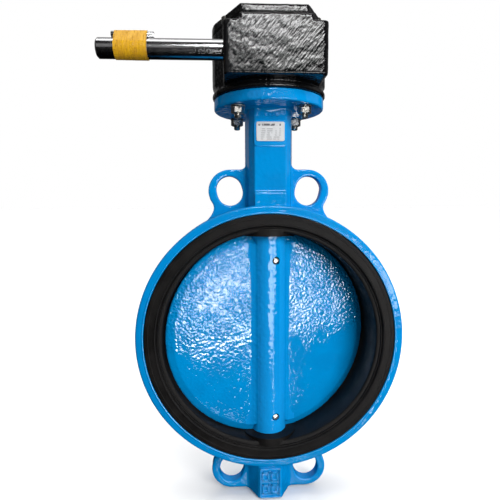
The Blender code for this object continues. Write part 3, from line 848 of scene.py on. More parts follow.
class Finishes:
    """All finishes of the valve, each made once."""

    def __init__(self) -> None:
        """Make the materials."""
        low, high, middle = extent("label_plate")
        half = (high - low) / 2
        zinc = (opaque(0.62, 0.61, 0.57), opaque(0.38, 0.37, 0.34))
        bronze = (opaque(0.52, 0.33, 0.13), opaque(0.34, 0.20, 0.08))
        self.blue = Coat(Enamel("blue_enamel", opaque(0.0, 0.250, 0.610), opaque(0.0, 0.215, 0.540),
                                0.05, 0.0029, 0.0022, calm_below=0.196).material(), "valve_paint")
        self.blue_smooth = Coat(Enamel("blue_enamel_smooth", opaque(0.0, 0.255, 0.640),
                                       opaque(0.0, 0.215, 0.560), 0.08, 0.005, 0.0006).material(),
                                "valve_paint")
        self.black = Coat(Enamel("black_enamel", opaque(0.004, 0.004, 0.0045),
                                 opaque(0.007, 0.007, 0.008), 0.10, 0.0040, 0.0007,
                                 brushed=0.6).material(), "operator_paint")
        self.rubber = Coat(Rubber("seat_rubber").material(), "seat_rubber")
        self.steel_along = Coat(TurnedSteel("turned_shaft_steel", Axis.X).material(), "shaft_steel")
        self.steel_up = Coat(TurnedSteel("turned_stem_steel", Axis.Z).material())
        self.zinc = Coat(Metal("zinc_plate", *zinc, 0.26, 0.004).material(), "zinc_steel")
        self.bronze = Coat(Metal("gear_bronze", *bronze, 0.34, 0.006).material())
        self.polymer = Coat(Plastic("bush_polymer", opaque(0.62, 0.60, 0.52),
                                    opaque(0.50, 0.48, 0.41), 0.42).material())
        self.red = Coat(Plastic("indicator_plastic", opaque(0.62, 0.02, 0.015),
                                opaque(0.50, 0.015, 0.012), 0.32).material(), "indicator_red")
        self.tape = Coat(TapeFilm("yellow_tape").material(), "tape_yellow")
        self.label = Coat(PrintedFoil("label_foil", middle, half.x, half.z).material(),
                          "label_plate")


def put(piece: Piece, coat: Coat, body: str, *nodes: str) -> None:
    """Dress a finished piece and hang it on its body.

    Args:
        piece: The piece, in place.
        coat: Its finish, with the record's material slot it belongs to.
        body: The body it moves with.
        nodes: The CAD nodes it stands for.
    """
    piece.data.materials.clear()
    piece.data.materials.append(coat.material)
    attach(piece, body)
    if nodes:
        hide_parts(*nodes)
    LOG.info("%s: %d faces", piece.name, len(piece.data.polygons))


def marks(name: str, spots: list, axis_y: float, height: float, edge: float) -> Piece:
    """Raised cast marks on a face that looks to the front.

    Args:
        name: Name of the piece.
        spots: Boxes of the marks as (low x, low z, high x, high z).
        axis_y: Place of the marks' front.
        height: Depth from their front to their sunk back.
        edge: Radius of their edges.

    Returns:
        One object with all the marks.
    """
    bars = [Bench.block(name, (x, axis_y, z), (right, axis_y + height, top), edge)
            for x, z, right, top in spots]
    return Bench.gather(name, bars)


def framed(centre_x: float, centre_z: float, half_x: float, half_z: float, bar: float) -> list:
    """Boxes of a rectangular frame of bars, for marks().

    Args:
        centre_x: Middle of the frame across.
        centre_z: Middle of the frame upwards.
        half_x: Half of its width.
        half_z: Half of its height.
        bar: Width of a bar.

    Returns:
        The four boxes.
    """
    left, right = centre_x - half_x, centre_x + half_x
    foot, top = centre_z - half_z, centre_z + half_z
    return [(left, foot, right, foot + bar), (left, top - bar, right, top),
            (left, foot, left + bar, top), (right - bar, foot, right, top)]


# ------------------------------------------------------------------ valve body
@dataclass
class ValveBody:
    """Blue iron body: ring, neck, top flange, lugs and bottom boss in one casting."""

    finishes: Finishes
    bore: float = 0.134
    recess_radius: float = 0.1453
    recess_floor: float = 0.0277
    half_width: float = 0.0322
    edge: float = 0.0026
    flange_thickness: float = 0.012
    lug_x: float = 0.04594
    lug_rise: float = 0.17145
    lug_radius: float = 0.0247
    lug_half: float = 0.007
    lean: float = math.radians(15)
    slot_radius: float = 0.015
    slot_half: float = 0.0022
    stem_bore: float = 0.016
    bolt_square: float = 0.03606
    bolt_hole: float = 0.0047
    root: float = 0.138
    seam: float = 0.0005
    flange_radius: float = 0.0628
    grain: float = 0.00125

    def __post_init__(self) -> None:
        """Read the body's place from the frame."""
        self.centre = extent("seat_liner")[2]
        self.low, self.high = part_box("body")
        self.radius = self.high.x

    def ring(self) -> None:
        """Ring that holds the seat, with a raised lip on each face and a casting seam."""
        face, edge, radius = self.half_width, self.edge, self.radius - self.seam
        front = [(self.bore, -self.recess_floor), (self.recess_radius, -self.recess_floor)]
        front += list(reversed(bead(self.recess_radius + 0.0012, -face, 0.0022, 0.0009)))
        front += arc((radius - edge, edge - face), edge, -90, 0, 5)
        front += [(radius, -0.0035), (radius + self.seam * 0.8, -0.0018),
                  (radius + self.seam, -0.0008)]
        ring = Bench.turned("body_ring", front + mirrored(front), Axis.Y, self.centre, 192)
        put(Bench.smooth(ring), self.finishes.blue_smooth, "valve", "body")

    def column(self, name: str, section: list, low: float, high: float) -> Piece:
        """Upright column whose section mirrors a quarter outline.

        Args:
            name: Name of the piece.
            section: The quarter's points, with the last one on the X axis.
            low: Height of its foot.
            high: Height of its top.

        Returns:
            The column.
        """
        outline = section + mirrored(section[:-1])
        outline += [(-x, -y) for x, y in section] + [(-x, y) for x, y in reversed(section[:-1])]
        return Bench.pushed(name, outline, Axis.Z, low, high)

    def lug(self, side: int, level: int) -> Piece:
        """Locating lug with its oblong hole.

        Args:
            side: 1 to the right and -1 to the left.
            level: 1 above the ring and -1 below it.

        Returns:
            The lug.
        """
        top = self.lug_rise + self.lug_radius
        fillet = 0.007 if level > 0 else 0.0015
        stem_side = 0.0265
        outline = [(0.010, 0.140)] + list(reversed(curve(
            (self.lug_x + self.lug_radius * math.cos(math.radians(-38)),
             self.lug_rise + self.lug_radius * math.sin(math.radians(-38))),
            (0.0605, 0.1450), (0.0830, 0.1290), 7)))
        outline += arc((self.lug_x, self.lug_rise), self.lug_radius, -32, 90, 12)
        outline += arc((stem_side + fillet, top + fillet), fillet, -90, -180, 5)
        outline += [(0.010, top + fillet)]
        hole = arc((0, self.slot_half), self.slot_radius, 0, 180, 14)
        hole += arc((0, -self.slot_half), self.slot_radius, 180, 360, 14)
        sine, cosine = math.sin(self.lean), math.cos(self.lean)
        hole = [(self.lug_x + x * cosine + z * sine, self.lug_rise - x * sine + z * cosine)
                for x, z in hole]

        def placed(points: list) -> list:
            """Points moved to this lug's corner of the body."""
            return [(side * x, self.centre.z + level * z) for x, z in points]

        lug = Bench.pushed("lug", placed(outline), Axis.Y, -self.lug_half, self.lug_half)
        Bench.cut(lug, Bench.pushed("slot", placed(hole), Axis.Y, -0.02, 0.02))
        return lug

    def neck(self) -> None:
        """Neck with its top flange, collar, ledge and upper lugs."""
        z = self.centre.z
        top = self.high.z
        foot = top - self.flange_thickness
        section = [(0.0176, 0.0276), (0.0236, 0.0194), (0.0276, 0.0)]
        neck = self.column("neck_casting", section, z + self.root, foot + 0.004)
        rim = self.flange_radius
        flange = [(0, foot), (rim - 0.001, foot), (rim, foot + 0.001), (rim, top - 0.0006),
                  (rim - 0.0006, top), (0, top)]
        collar = [(0, foot - 0.006), (0.0275, foot - 0.006)]
        collar += arc((0.0345, foot - 0.006), 0.007, 180, 90, 4) + [(0, foot + 0.003)]
        parts = [neck, self.lug(1, 1), self.lug(-1, 1),
                 Bench.block("ledge", (-0.018, -0.0305, z + 0.147), (0.018, 0.0305, z + 0.169)),
                 Bench.turned("flange", flange, Axis.Z, steps=96),
                 Bench.turned("collar", collar, Axis.Z, steps=48)]
        holes = [Bench.rod("hole", self.bolt_hole, foot - 0.02, top + 0.01, Axis.Z,
                           Vector((x * self.bolt_square, y * self.bolt_square, 0)), 24)
                 for x in (1, -1) for y in (1, -1)]
        holes.append(Bench.rod("bore", self.stem_bore, z + 0.125, top + 0.01, Axis.Z))
        self.found("neck_casting", parts, holes)

    def foot(self) -> None:
        """Bottom boss with the lower lugs."""
        z = self.centre.z
        foot = self.column("foot_casting", [(0.0137, 0.0274), (0.0292, 0.0)],
                           self.low.z + 0.0004, z - self.root)
        bore = Bench.rod("bore", self.stem_bore, self.low.z - 0.01, z - 0.125, Axis.Z)
        self.found("foot_casting", [foot, self.lug(1, -1), self.lug(-1, -1)], [bore])

    def found(self, name: str, parts: list, holes: list) -> None:
        """Fuse parts into a casting, bore its holes and paint it.

        Args:
            name: Name of the casting.
            parts: Overlapping shapes.
            holes: Shapes of the bored holes.
        """
        piece = Bench.gather(name, parts)
        Bench.cast(piece, self.grain, 2)
        Bench.lumps(piece, 0.006, 0.0003)
        Bench.cut(piece, *holes)
        put(piece, self.finishes.blue_smooth, "valve")

    def pad(self) -> None:
        """Raised pad behind the label plate, with rounded corners."""
        middle = extent("label_plate")[2]
        outline = rounded((middle.x, middle.z - 0.0018), 0.018, 0.0143, 0.004)
        pad = Bench.pushed("label_pad", outline, Axis.Y, -0.0286, -0.0225)
        Bench.round_edges(pad, 0.0005)
        put(Bench.smooth(pad), self.finishes.blue_smooth, "valve")

    def cast_marks(self) -> None:
        """Plain raised marks on the boss and the neck."""
        low, z = self.low.z, self.centre.z
        rows = framed(0, low + 0.0205, 0.0124, 0.0185, 0.0014)
        for height in (0.0290, 0.0130):
            for x in (-0.0053, 0.0053):
                rows += framed(x, low + height, 0.0043, 0.0060, 0.0024)
        boss = marks("boss_marks", rows, -0.0291, 0.0032, 0.0004)
        put(boss, self.finishes.blue_smooth, "valve")
        top = self.high.z - self.flange_thickness
        dashes = [(x, top - 0.009, x + 0.0022, top - 0.0066)
                  for x in (-0.006, -0.002, 0.002, 0.006)]
        neck = marks("neck_marks", dashes, -0.0284, 0.0024, 0.0004)
        put(neck, self.finishes.blue_smooth, "valve")
        sill = marks("neck_sill", [(-0.0140, z + 0.1675, 0.0140, z + 0.1690)], -0.0303, 0.003, 0.0005)
        put(sill, self.finishes.blue_smooth, "valve")

    def label(self) -> None:
        """Foil plate with rounded corners on the pad."""
        low, high, middle = extent("label_plate")
        outline = rounded((middle.x, middle.z), high.x - middle.x, high.z - middle.z, 0.0018)
        plate = Bench.pushed("label_foil_plate", outline, Axis.Y, low.y, high.y)
        Bench.round_edges(plate, 0.00015, 1)
        put(plate, self.finishes.label, "valve", "label_plate")

    def build(self) -> None:
        """Build and dress the body."""
        self.ring()
        self.neck()
        self.foot()
        self.cast_marks()
        self.pad()
        self.label()


# ------------------------------------------------------------------ rubber seat
@dataclass
class SeatLiner:
    """Rubber liner with a sealing face, beads and flats round the stem."""

    finishes: Finishes
    outer: float = 0.1337
    lip_radius: float = 0.1448
    lip_floor: float = 0.0280
    mouth: float = 0.1300
    bore: float = 0.1243
    straight: float = 0.0282
    back_lip: float = 0.1206
    flat: float = 0.1195
    flat_radius: float = 0.0329
    stem_hole: float = 0.0143

    def build(self) -> None:
        """Build and dress the liner."""
        low, high, centre = extent("seat_liner")
        proud = (high.y - low.y) / 2
        face = proud - 0.0006
        front = [(self.outer, -self.lip_floor), (self.lip_radius, -self.lip_floor)]
        front += arc((self.lip_radius - 0.0012, 0.0012 - face), 0.0012, 0, -90, 4)
        front += bead(0.1405, -face, 0.0016, 0.0003)
        front += bead(0.1328, -face, 0.0020, 0.0006)
        front += [(0.1312, 0.0004 - face), (0.1308, 0.0016 - face)]
        front += bead(self.mouth - 0.0004, 0.0020 - face, 0.0014, 0.0007)
        front += curve((0.1286, 0.0030 - face), (self.bore, 0.0034 - face),
                       (self.bore, -self.straight), 5)
        front += [(self.bore, -0.0125), (self.bore, -0.0105)]
        lip = [(self.bore, 0.0268), (self.back_lip + 0.0003, 0.0294), (self.back_lip, 0.0304),
               (self.back_lip + 0.0006, 0.0312), (0.1275, 0.0312)]
        mouth = next(i for i, (r, y) in enumerate(front) if r < self.mouth - 0.001)
        back = mirrored(front[-2:]) + lip + mirrored(front[:mouth])
        seat = Bench.turned("seat_liner_rubber", front + back, Axis.Y, centre, 160)
        for level in (1, -1):
            span = level_span(centre.z, level, self.flat, 0.1285)
            Bench.join(seat, Bench.rod("flat", self.flat_radius, *span, Axis.Z, steps=48))
            span = level_span(centre.z, level, 0.11, 0.14)
            Bench.cut(seat, Bench.rod("hole", self.stem_hole, *span, Axis.Z))
        put(Bench.smooth(seat), self.finishes.rubber, "valve", "seat_liner")


# ------------------------------------------------------------------ disc
@dataclass
class Disc:
    """Turning disc with its hub, pins and cast marks."""

    finishes: Finishes
    radius: float = 0.124
    flat: float = 0.1192
    hub: float = 0.021
    fillet: float = 0.021
    plate: float = 0.0085
    sunk: float = 0.0072
    rim: float = 0.0016
    stem_hole: float = 0.0143
    bore_end: float = 0.044
    pin_offset: float = 0.0035
    pin_heights: tuple = (0.0905, -0.0995)
    pin_hole: float = 0.0046
    grain: float = 0.0013

    def __post_init__(self) -> None:
        """Read the disc's place and its angle at rest from the frame."""
        self.centre = Vector((0, 0, extent("disc")[2].z))
        self.rest = rest_angle()

    def hub_outline(self) -> list:
        """Plan outline of the hub, with hollows that run out on the plate."""
        reach = self.hub + self.fillet
        centre_x = math.sqrt(reach ** 2 - (self.sunk + self.fillet) ** 2)
        centre_y = self.sunk + self.fillet
        lift = math.degrees(math.atan2(centre_y, centre_x))
        right = arc((centre_x, centre_y), self.fillet, -90, lift - 180, 10)
        top = arc((0, 0), self.hub, lift, 180 - lift, 28)
        left = [(-x, y) for x, y in reversed(right)]
        half = [(centre_x, self.sunk)] + right[1:] + top[1:-1] + left
        return half + [(-x, -y) for x, y in half]

    def build(self) -> None:
        """Build and dress the disc with its pins and marks."""
        centre = self.centre
        half = [(0, -0.0088), (0.060, -self.plate), (0.098, -0.0080), (0.1150, -0.0066),
                (0.1225, -0.0034)]
        half += curve((0.1225, -0.0034), (self.radius, -0.0030), (self.radius, -self.rim), 3)[1:]
        disc = Bench.turned("disc_plate", half + mirrored(half), Axis.Y, centre, 144)
        Bench.cast(disc, self.grain, 2)
        Bench.lumps(disc, 0.0042, 0.00030)
        span = (centre.z - self.flat, centre.z + self.flat)
        hub = Bench.pushed("hub", self.hub_outline(), Axis.Z, *span)
        taper = [(0, -0.030), (0.092, -0.030), (0.1165, -0.0056), (0.1218, -0.0034)]
        keep = Bench.turned("taper", taper + mirrored(taper), Axis.Y, centre, 96)
        Bench.join(keep, Bench.rod("keep", self.hub + 0.0002, *span, Axis.Z, steps=64))
        Bench.combine(hub, "INTERSECT", keep)
        pins = [centre + Vector((self.pin_offset, 0, height)) for height in self.pin_heights]
        for piece in (disc, hub):
            for level in (1, -1):
                low, high = level_span(centre.z, level, self.flat, 0.13)
                Bench.cut(piece, Bench.block("trim", (-0.06, -0.06, low), (0.06, 0.06, high)))
                low, high = level_span(centre.z, level, self.bore_end, 0.13)
                Bench.cut(piece, Bench.rod("hole", self.stem_hole, low, high, Axis.Z))
            Bench.cut(piece, *[Bench.rod("hole", self.pin_hole, -0.04, 0.04, Axis.Y, pin, 28)
                               for pin in pins])
            Bench.swing(piece, self.rest)
            Bench.smooth(piece)
        hub.name = "disc_hub"
        put(disc, self.finishes.blue, "disc_and_stem", "disc")
        put(hub, self.finishes.blue_smooth, "disc_and_stem")
        self.pins()
        self.cast_marks()

    def pins(self) -> None:
        """Taper pins through the hub and the half stems."""
        for name, height in zip(("upper", "lower"), self.pin_heights):
            low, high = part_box(f"taper_pin_{name}")
            place = self.centre + Vector((self.pin_offset, 0, height))
            reach = 0.0205
            profile = [(0, -reach - 0.0004), (0.0022, -reach - 0.0003), (0.0033, 0.0004 - reach),
                       (0.0036, 0.0012 - reach), (0.0034, reach - 0.001), (0.0026, reach),
                       (0, reach)]
            pin = Bench.turned(f"taper_pin_{name}_turned", profile, Axis.Y, place, 32)
            Bench.swing(pin, self.rest)
            put(Bench.smooth(pin), self.finishes.zinc, "disc_and_stem", f"taper_pin_{name}")

    def cast_marks(self) -> None:
        """Plain square marks on both halves of the plate."""
        for name, middle in (("left", -0.0765), ("right", 0.0919)):
            z = self.centre.z - (0.004 if middle > 0 else 0.002)
            spots = framed(middle, z, 0.0085, 0.0085, 0.0010)
            spots += framed(middle, z + 0.0015, 0.0040, 0.0035, 0.0009)
            spots += [(middle - 0.0055 + 0.003 * i, z - 0.0062, middle - 0.0038 + 0.003 * i,
                       z - 0.0048) for i in range(4)]
            depth = 0.0079 if middle < 0 else 0.0074
            mark = marks(f"disc_marks_{name}", spots, -depth - 0.0003, 0.0020, 0.0002)
            Bench.swing(mark, self.rest)
            put(mark, self.finishes.blue, "disc_and_stem")


# ------------------------------------------------------------------ gear operator
@dataclass
class GearOperator:
    """Black worm gear case with its cover and the indicator on top."""

    finishes: Finishes
    radius: float = 0.0648
    side_start: float = 0.020
    front: float = 0.0708
    front_half: float = 0.0343
    floor: float = 0.490
    cavity: float = 0.054
    tunnel: float = 0.0212
    bearing: float = 0.016
    stop_x: float = 0.028
    hub_hole: float = 0.0223

    def __post_init__(self) -> None:
        """Read the operator's place from the frame."""
        self.low, self.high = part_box("gear_case")
        self.cover_low, self.cover_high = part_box("gear_cover")
        worm = extent("worm")[2]
        self.worm = Vector((0, worm.y, worm.z))

    def outline(self, inset: float = 0.0) -> list:
        """Plan of the case: round behind, slanted to a flat front.

        Args:
            inset: Width by which the plan shrinks.

        Returns:
            The points.
        """
        side = math.degrees(math.asin(self.side_start / self.radius))
        points = arc((0, 0), self.radius - inset, -side, 180 + side, 48)
        half = self.front_half - inset * 0.6
        return points + [(-half, inset - self.front), (half, inset - self.front)]

    def case(self) -> None:
        """Case casting with the worm box across its front."""
        base = self.low.z
        case = Bench.pushed("gear_case_casting", self.outline(0.0004), Axis.Z, base + 0.012,
                            self.high.z)
        lip = [(0, base), (0.0632, base), (0.0646, base + 0.0014), (0.0646, base + 0.0048),
               (0.0628, base + 0.0066), (0.0628, base + 0.016), (0, base + 0.016)]
        worm_z = self.worm.z
        left, right, corner = -0.0510, 0.0528, 0.0052
        box = [(right, -0.030), (left, -0.030)]
        box += arc((left + corner, corner - 0.0795), corner, 180, 270, 6)
        box += arc((right - corner, corner - 0.0795), corner, 270, 360, 6)
        hump = [(-0.0795, worm_z), (-0.04, worm_z), (-0.04, self.high.z - 0.0006),
                (-0.0705, self.high.z - 0.0006), (-0.0795, 0.5368)]
        parts = [Bench.turned("lip", lip, Axis.Z, steps=96),
                 Bench.pushed("box", box, Axis.Z, 0.4804, 0.5310),
                 Bench.pushed("hump", hump, Axis.X, -0.0345, 0.0370)]
        stops = [Vector((side * self.stop_x, 0, worm_z)) for side in (1, -1)]
        parts += [Bench.rod("boss", 0.0105, 0.050, 0.069, Axis.Y, at) for at in stops]
        case = Bench.gather("gear_case_casting", [case] + parts)
        Bench.cast(case, 0.0012, 4)
        Bench.lumps(case, 0.0120, 0.0007)
        tools = [Bench.rod("cavity", self.cavity, self.floor, self.high.z + 0.01, Axis.Z),
                 Bench.rod("tunnel", self.tunnel, -0.029, 0.031, Axis.X, self.worm),
                 Bench.rod("bearing", self.bearing, -0.06, 0.06, Axis.X, self.worm),
                 Bench.rod("hub", self.hub_hole, base - 0.01, self.floor + 0.01, Axis.Z)]
        tools += [Bench.rod("stop", 0.0053, 0.04, 0.08, Axis.Y, at, 20) for at in stops]
        Bench.cut(case, *tools)
        put(case, self.finishes.black, "valve", "gear_case")

    def cover(self) -> None:
        """Cover casting with softly rounded edges and sunk screws."""
        low, high = self.cover_low.z, self.cover_high.z
        cover = Bench.pushed("gear_cover_casting", self.outline(0.0005), Axis.Z, low, high - 0.0004)
        Bench.cut(cover, Bench.rod("hole", 0.0123, low - 0.01, high + 0.01, Axis.Z))
        for number in range(1, 5):
            _, top, middle = extent(f"cover_screw_{number}")
            Bench.cut(cover, Bench.rod("sink", 0.0056, top.z - 0.0052, high + 0.01, Axis.Z,
                                       upright(middle), 32))
        Bench.cast(cover, 0.0011, 4)
        Bench.lumps(cover, 0.0055, 0.0005)
        put(cover, self.finishes.black, "valve", "gear_cover")

    def cap(self) -> None:
        """End cap of the worm's bore, with a shallow turned dish."""
        low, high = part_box("worm_end_cap")
        radius = (high.y - low.y) / 2 - 0.0001
        profile = [(0, low.x), (radius, low.x), (radius, high.x - 0.0006), (radius - 0.0006, high.x),
                   (0.0105, high.x), (0.0098, high.x - 0.0009), (0.003, high.x - 0.0009),
                   (0.0022, high.x - 0.0018), (0, high.x - 0.0018)]
        cap = Bench.turned("worm_end_cap_turned", profile, Axis.X, self.worm, 48)
        put(Bench.smooth(cap), self.finishes.black, "valve", "worm_end_cap")

    def indicator(self) -> None:
        """Round pointer with a raised bar and its slotted screw."""
        low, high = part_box("position_indicator")
        plate = self.cover_high.z + 0.0004
        profile = [(0, low.z), (0.012, low.z), (0.012, plate), (0.0224, plate),
                   (0.023, plate + 0.0006), (0.023, plate + 0.0024), (0.0220, plate + 0.0034),
                   (0.0195, plate + 0.0034), (0.0190, plate + 0.0028), (0, plate + 0.0028)]
        pointer = Bench.turned("indicator_pointer", profile, Axis.Z, steps=72)
        bar = Bench.block("bar", (-0.0187, -0.0034, plate + 0.001), (0.0187, 0.0034, high.z), 0.0008)
        Bench.join(pointer, bar)
        Bench.cut(pointer, Bench.rod("hole", 0.0033, low.z - 0.01, high.z + 0.01, Axis.Z, steps=24))
        Bench.swing(pointer, rest_angle())
        put(Bench.smooth(pointer), self.finishes.red, "disc_and_stem", "position_indicator")
        low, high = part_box("indicator_screw")
        head = high.z - 0.003
        dome = arc((0, high.z - 0.0100), 0.0100, 57, 90, 5)
        profile = [(0, low.z), (0.003, low.z), (0.003, head), (0.0055, head)] + dome
        screw = Bench.turned("indicator_screw_turned", profile, Axis.Z, steps=40)
        Bench.cut(screw, Bench.block("slot", (-0.007, -0.0006, high.z - 0.0012),
                                     (0.007, 0.0006, high.z + 0.01)))
        put(Bench.smooth(screw), self.finishes.zinc, "disc_and_stem", "indicator_screw")

    def build(self) -> None:
        """Build and dress the operator."""
        self.case()
        self.cover()
        self.cap()
        self.indicator()


# ------------------------------------------------------------------ input shaft
@dataclass
class InputDrive:
    """Bare input shaft with the handwheel's spring pin taped to it."""

    finishes: Finishes
    chamfer: float = 0.0016
    pin_radius: float = 0.0032
    pin_wall: float = 0.0008
    slit: float = 0.0011
    clearance: float = 0.0004

    def __post_init__(self) -> None:
        """Read the drive's place from the frame."""
        self.low, self.high, middle = extent("input_shaft")
        self.radius = (self.high.z - self.low.z) / 2
        self.line = Vector((0, middle.y, middle.z))
        self.pin_low, self.pin_high, pin_middle = extent("handwheel_pin")
        self.pin_z = pin_middle.z

    def shaft(self) -> None:
        """Turned shaft with chamfered end, centre hole and cross hole."""
        low, high, radius = self.low.x, self.high.x, self.radius
        profile = [(0, low + 0.004), (0.0016, low + 0.0025), (0.0030, low), (radius - 0.0016, low),
                   (radius, low + self.chamfer), (radius, high - self.chamfer),
                   (radius - 0.0016, high), (0, high)]
        shaft = Bench.turned("input_shaft_turned", profile, Axis.X, self.line, 96)
        cross = self.line + Vector((self.pin_low.x + 0.011, 0, 0))
        Bench.cut(shaft, Bench.rod("hole", 0.0033, -0.02, 0.02, Axis.Y, cross, 28))
        put(Bench.smooth(shaft), self.finishes.steel_along, "input_drive", "input_shaft")

    def pin(self) -> None:
        """Spring pin rolled from sheet, with an open slit and chamfered ends."""
        opening = math.degrees(self.slit / self.pin_radius)
        centre = (self.line.y, self.pin_z)
        start, end = -30 + opening / 2, 330 - opening / 2
        outline = arc(centre, self.pin_radius, start, end, 36)
        outline += arc(centre, self.pin_radius - self.pin_wall, end, start, 36)
        pin = Bench.pushed("spring_pin", outline, Axis.X, self.pin_low.x, self.pin_high.x)
        Bench.round_edges(pin, 0.00025, 2)
        put(Bench.smooth(pin), self.finishes.steel_along, "input_drive", "handwheel_pin")

    def wrap(self, margin: float) -> list:
        """Outline of a band stretched round the shaft and the pin on it.

        Args:
            margin: Gap between the metal and the outline.

        Returns:
            Points across the X axis.
        """
        big, small = self.radius + margin, self.pin_radius + margin
        rise = self.pin_z - self.line.z
        lean = math.degrees(math.acos((big - small) / rise))
        y, z = self.line.y, self.line.z
        outline = arc((y, z + rise), small, 90 - lean, 90 + lean, 10)
        return outline + arc((y, z), big, 90 + lean, 450 - lean, 44)[:-1]

    def tape(self) -> None:
        """Three overlapping turns of tape, creased where they bridge to the pin."""
        low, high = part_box("tape")
        width = high.x - low.x
        turns = ((0.0, 0.44, 0.00075), (0.27, 0.74, 0.00085), (0.58, 1.0, 0.00095))
        bands = []
        for first, last, margin in turns:
            ends = (low.x + width * first, low.x + width * last)
            band = Bench.pushed("tape_band", self.wrap(margin), Axis.X, *ends, parts=26)
            inner = self.wrap(self.clearance)
            Bench.cut(band, Bench.pushed("hollow", inner, Axis.X, low.x - 0.01, high.x + 0.01))
            Bench.lumps(band, 0.0035, 0.00015)
            bands.append(band)
        tape = Bench.gather("tape_turns", bands)
        put(Bench.smooth(tape), self.finishes.tape, "input_drive", "tape")

    def build(self) -> None:
        """Build and dress the drive."""
        self.shaft()
        self.pin()
        self.tape()


# ------------------------------------------------------------------ fasteners
@dataclass
class Fasteners:
    """Studs, nuts, washers and screws of the operator."""

    finishes: Finishes
    pitch: float = 0.00125

    def thread(self, name: str, radius: float, low: float, high: float, axis: Axis,
               centre: Vector) -> Piece:
        """Threaded rod with chamfered ends.

        Args:
            name: Name of the piece.
            radius: Outer radius of the thread.
            low: First end along the axis.
            high: Last end along the axis.
            axis: Axis of the thread.
            centre: Point on the axis from which the ends count.

        Returns:
            The rod.
        """
        depth, chamfer = self.pitch * 0.5, 0.0010
        profile = [(0, low), (radius - chamfer, low), (radius - depth / 2, low + chamfer)]
        turns = int((high - low - 2 * chamfer) / self.pitch)
        for i in range(turns):
            start = low + chamfer + self.pitch * i
            profile += [(radius, start + self.pitch * 0.3), (radius, start + self.pitch * 0.5),
                        (radius - depth, start + self.pitch * 0.9)]
        profile += [(radius - chamfer, high), (0, high)]
        rod = Bench.turned(name, profile, axis, centre, 28)
        return Bench.smooth(rod)

    def hexagon(self, name: str, node: str, axis: Axis, hole: float) -> Piece:
        """Hexagon nut in a CAD node's place, with chamfered corners.

        Args:
            name: Name of the piece.
            node: CAD node whose box gives its place.
            axis: Axis of the thread.
            hole: Radius of its hole.

        Returns:
            The nut.
        """
        low, high, middle = extent(node)
        along = axis.value.index(1)
        across = [k for k in range(3) if k != along]
        flats, corners = sorted((high - low)[k] / 2 for k in across)
        middle[along] = 0
        start, end = low[along], high[along]
        turn = 0 if (high - low)[across[0]] > (high - low)[across[1]] else 30
        centre = (middle[across[0]], middle[across[1]])
        nut = Bench.pushed(name, arc(centre, corners, turn, turn + 300, 5), axis, start, end)
        slope = (corners - flats) * 0.65
        cone = [(0, start), (flats, start), (corners + 0.0002, start + slope),
                (corners + 0.0002, end - slope), (flats, end), (0, end)]
        Bench.combine(nut, "INTERSECT", Bench.turned("cone", cone, axis, middle, 48))
        Bench.cut(nut, Bench.rod("hole", hole, start - 0.01, end + 0.01, axis, middle, 28))
        return Bench.smooth(nut)

    def flange_bolting(self) -> None:
        """Four studs, each with a washer and a nut below the top flange."""
        home = "front_left"
        low, high, middle = extent(f"stud_{home}")
        centre = upright(middle)
        ring_low, ring_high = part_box(f"washer_{home}")
        outer = (ring_high.x - ring_low.x) / 2
        edge = 0.0003
        section = [(0.0043, ring_low.z), (outer - edge, ring_low.z), (outer, ring_low.z + edge),
                   (outer, ring_high.z - edge), (outer - edge, ring_high.z), (0.0043, ring_high.z)]
        washer = Bench.turned(f"flange_washer_{home}", section, Axis.Z, centre, 48)
        Bench.smooth(washer)
        stud = self.thread(f"flange_stud_{home}", 0.004, low.z, high.z, Axis.Z, centre)
        nut = self.hexagon(f"flange_nut_{home}", f"nut_{home}", Axis.Z, 0.0041)
        for place in ("front_left", "front_right", "back_left", "back_right"):
            for model, kind in ((washer, "washer"), (stud, "stud"), (nut, "nut")):
                piece = model
                if place != home:
                    shift = extent(f"{kind}_{place}")[2] - extent(f"{kind}_{home}")[2]
                    piece = Bench.copy(model, f"flange_{kind}_{place}", shift)
                put(piece, self.finishes.zinc, "valve", f"{kind}_{place}")

    def cover_screws(self) -> None:
        """Four cap screws with hexagon sockets, sunk in the cover."""
        low, high, middle = extent("cover_screw_1")
        radius, chamfer, seat = (high.x - low.x) / 2, 0.0006, high.z - 0.005
        profile = [(0, low.z), (0.003, low.z), (0.003, seat), (radius, seat),
                   (radius, high.z - chamfer), (radius - chamfer, high.z), (0, high.z)]
        screw = Bench.turned("cover_cap_screw_1", profile, Axis.Z, upright(middle), 40)
        socket = arc((middle.x, middle.y), 0.0029, 0, 300, 5)
        Bench.cut(screw, Bench.pushed("socket", socket, Axis.Z, high.z - 0.0025, high.z + 0.01))
        Bench.smooth(screw)
        for number in (2, 3, 4):
            shift = extent(f"cover_screw_{number}")[2] - middle
            twin = Bench.copy(screw, f"cover_cap_screw_{number}", shift)
            put(twin, self.finishes.zinc, "valve", f"cover_screw_{number}")
        put(screw, self.finishes.zinc, "valve", "cover_screw_1")

    def stop_screws(self) -> None:
        """Two stop screws behind the case, each with its lock nut."""
        for name in ("open", "closed"):
            low, high, centre = extent(f"stop_screw_{name}")
            centre.y = 0
            screw = self.thread(f"stop_thread_{name}", 0.005, low.y, high.y, Axis.Y, centre)
            slot = Bench.block("slot", (centre.x - 0.006, high.y - 0.0022, centre.z - 0.0006),
                               (centre.x + 0.006, high.y + 0.01, centre.z + 0.0006))
            Bench.cut(screw, slot)
            put(Bench.smooth(screw), self.finishes.zinc, "valve", f"stop_screw_{name}")
            nut = self.hexagon(f"stop_lock_nut_{name}", f"stop_nut_{name}", Axis.Y, 0.0051)
            put(nut, self.finishes.zinc, "valve", f"stop_nut_{name}")

    def build(self) -> None:
        """Build and dress the fasteners."""
        self.flange_bolting()
        self.cover_screws()
        self.stop_screws()


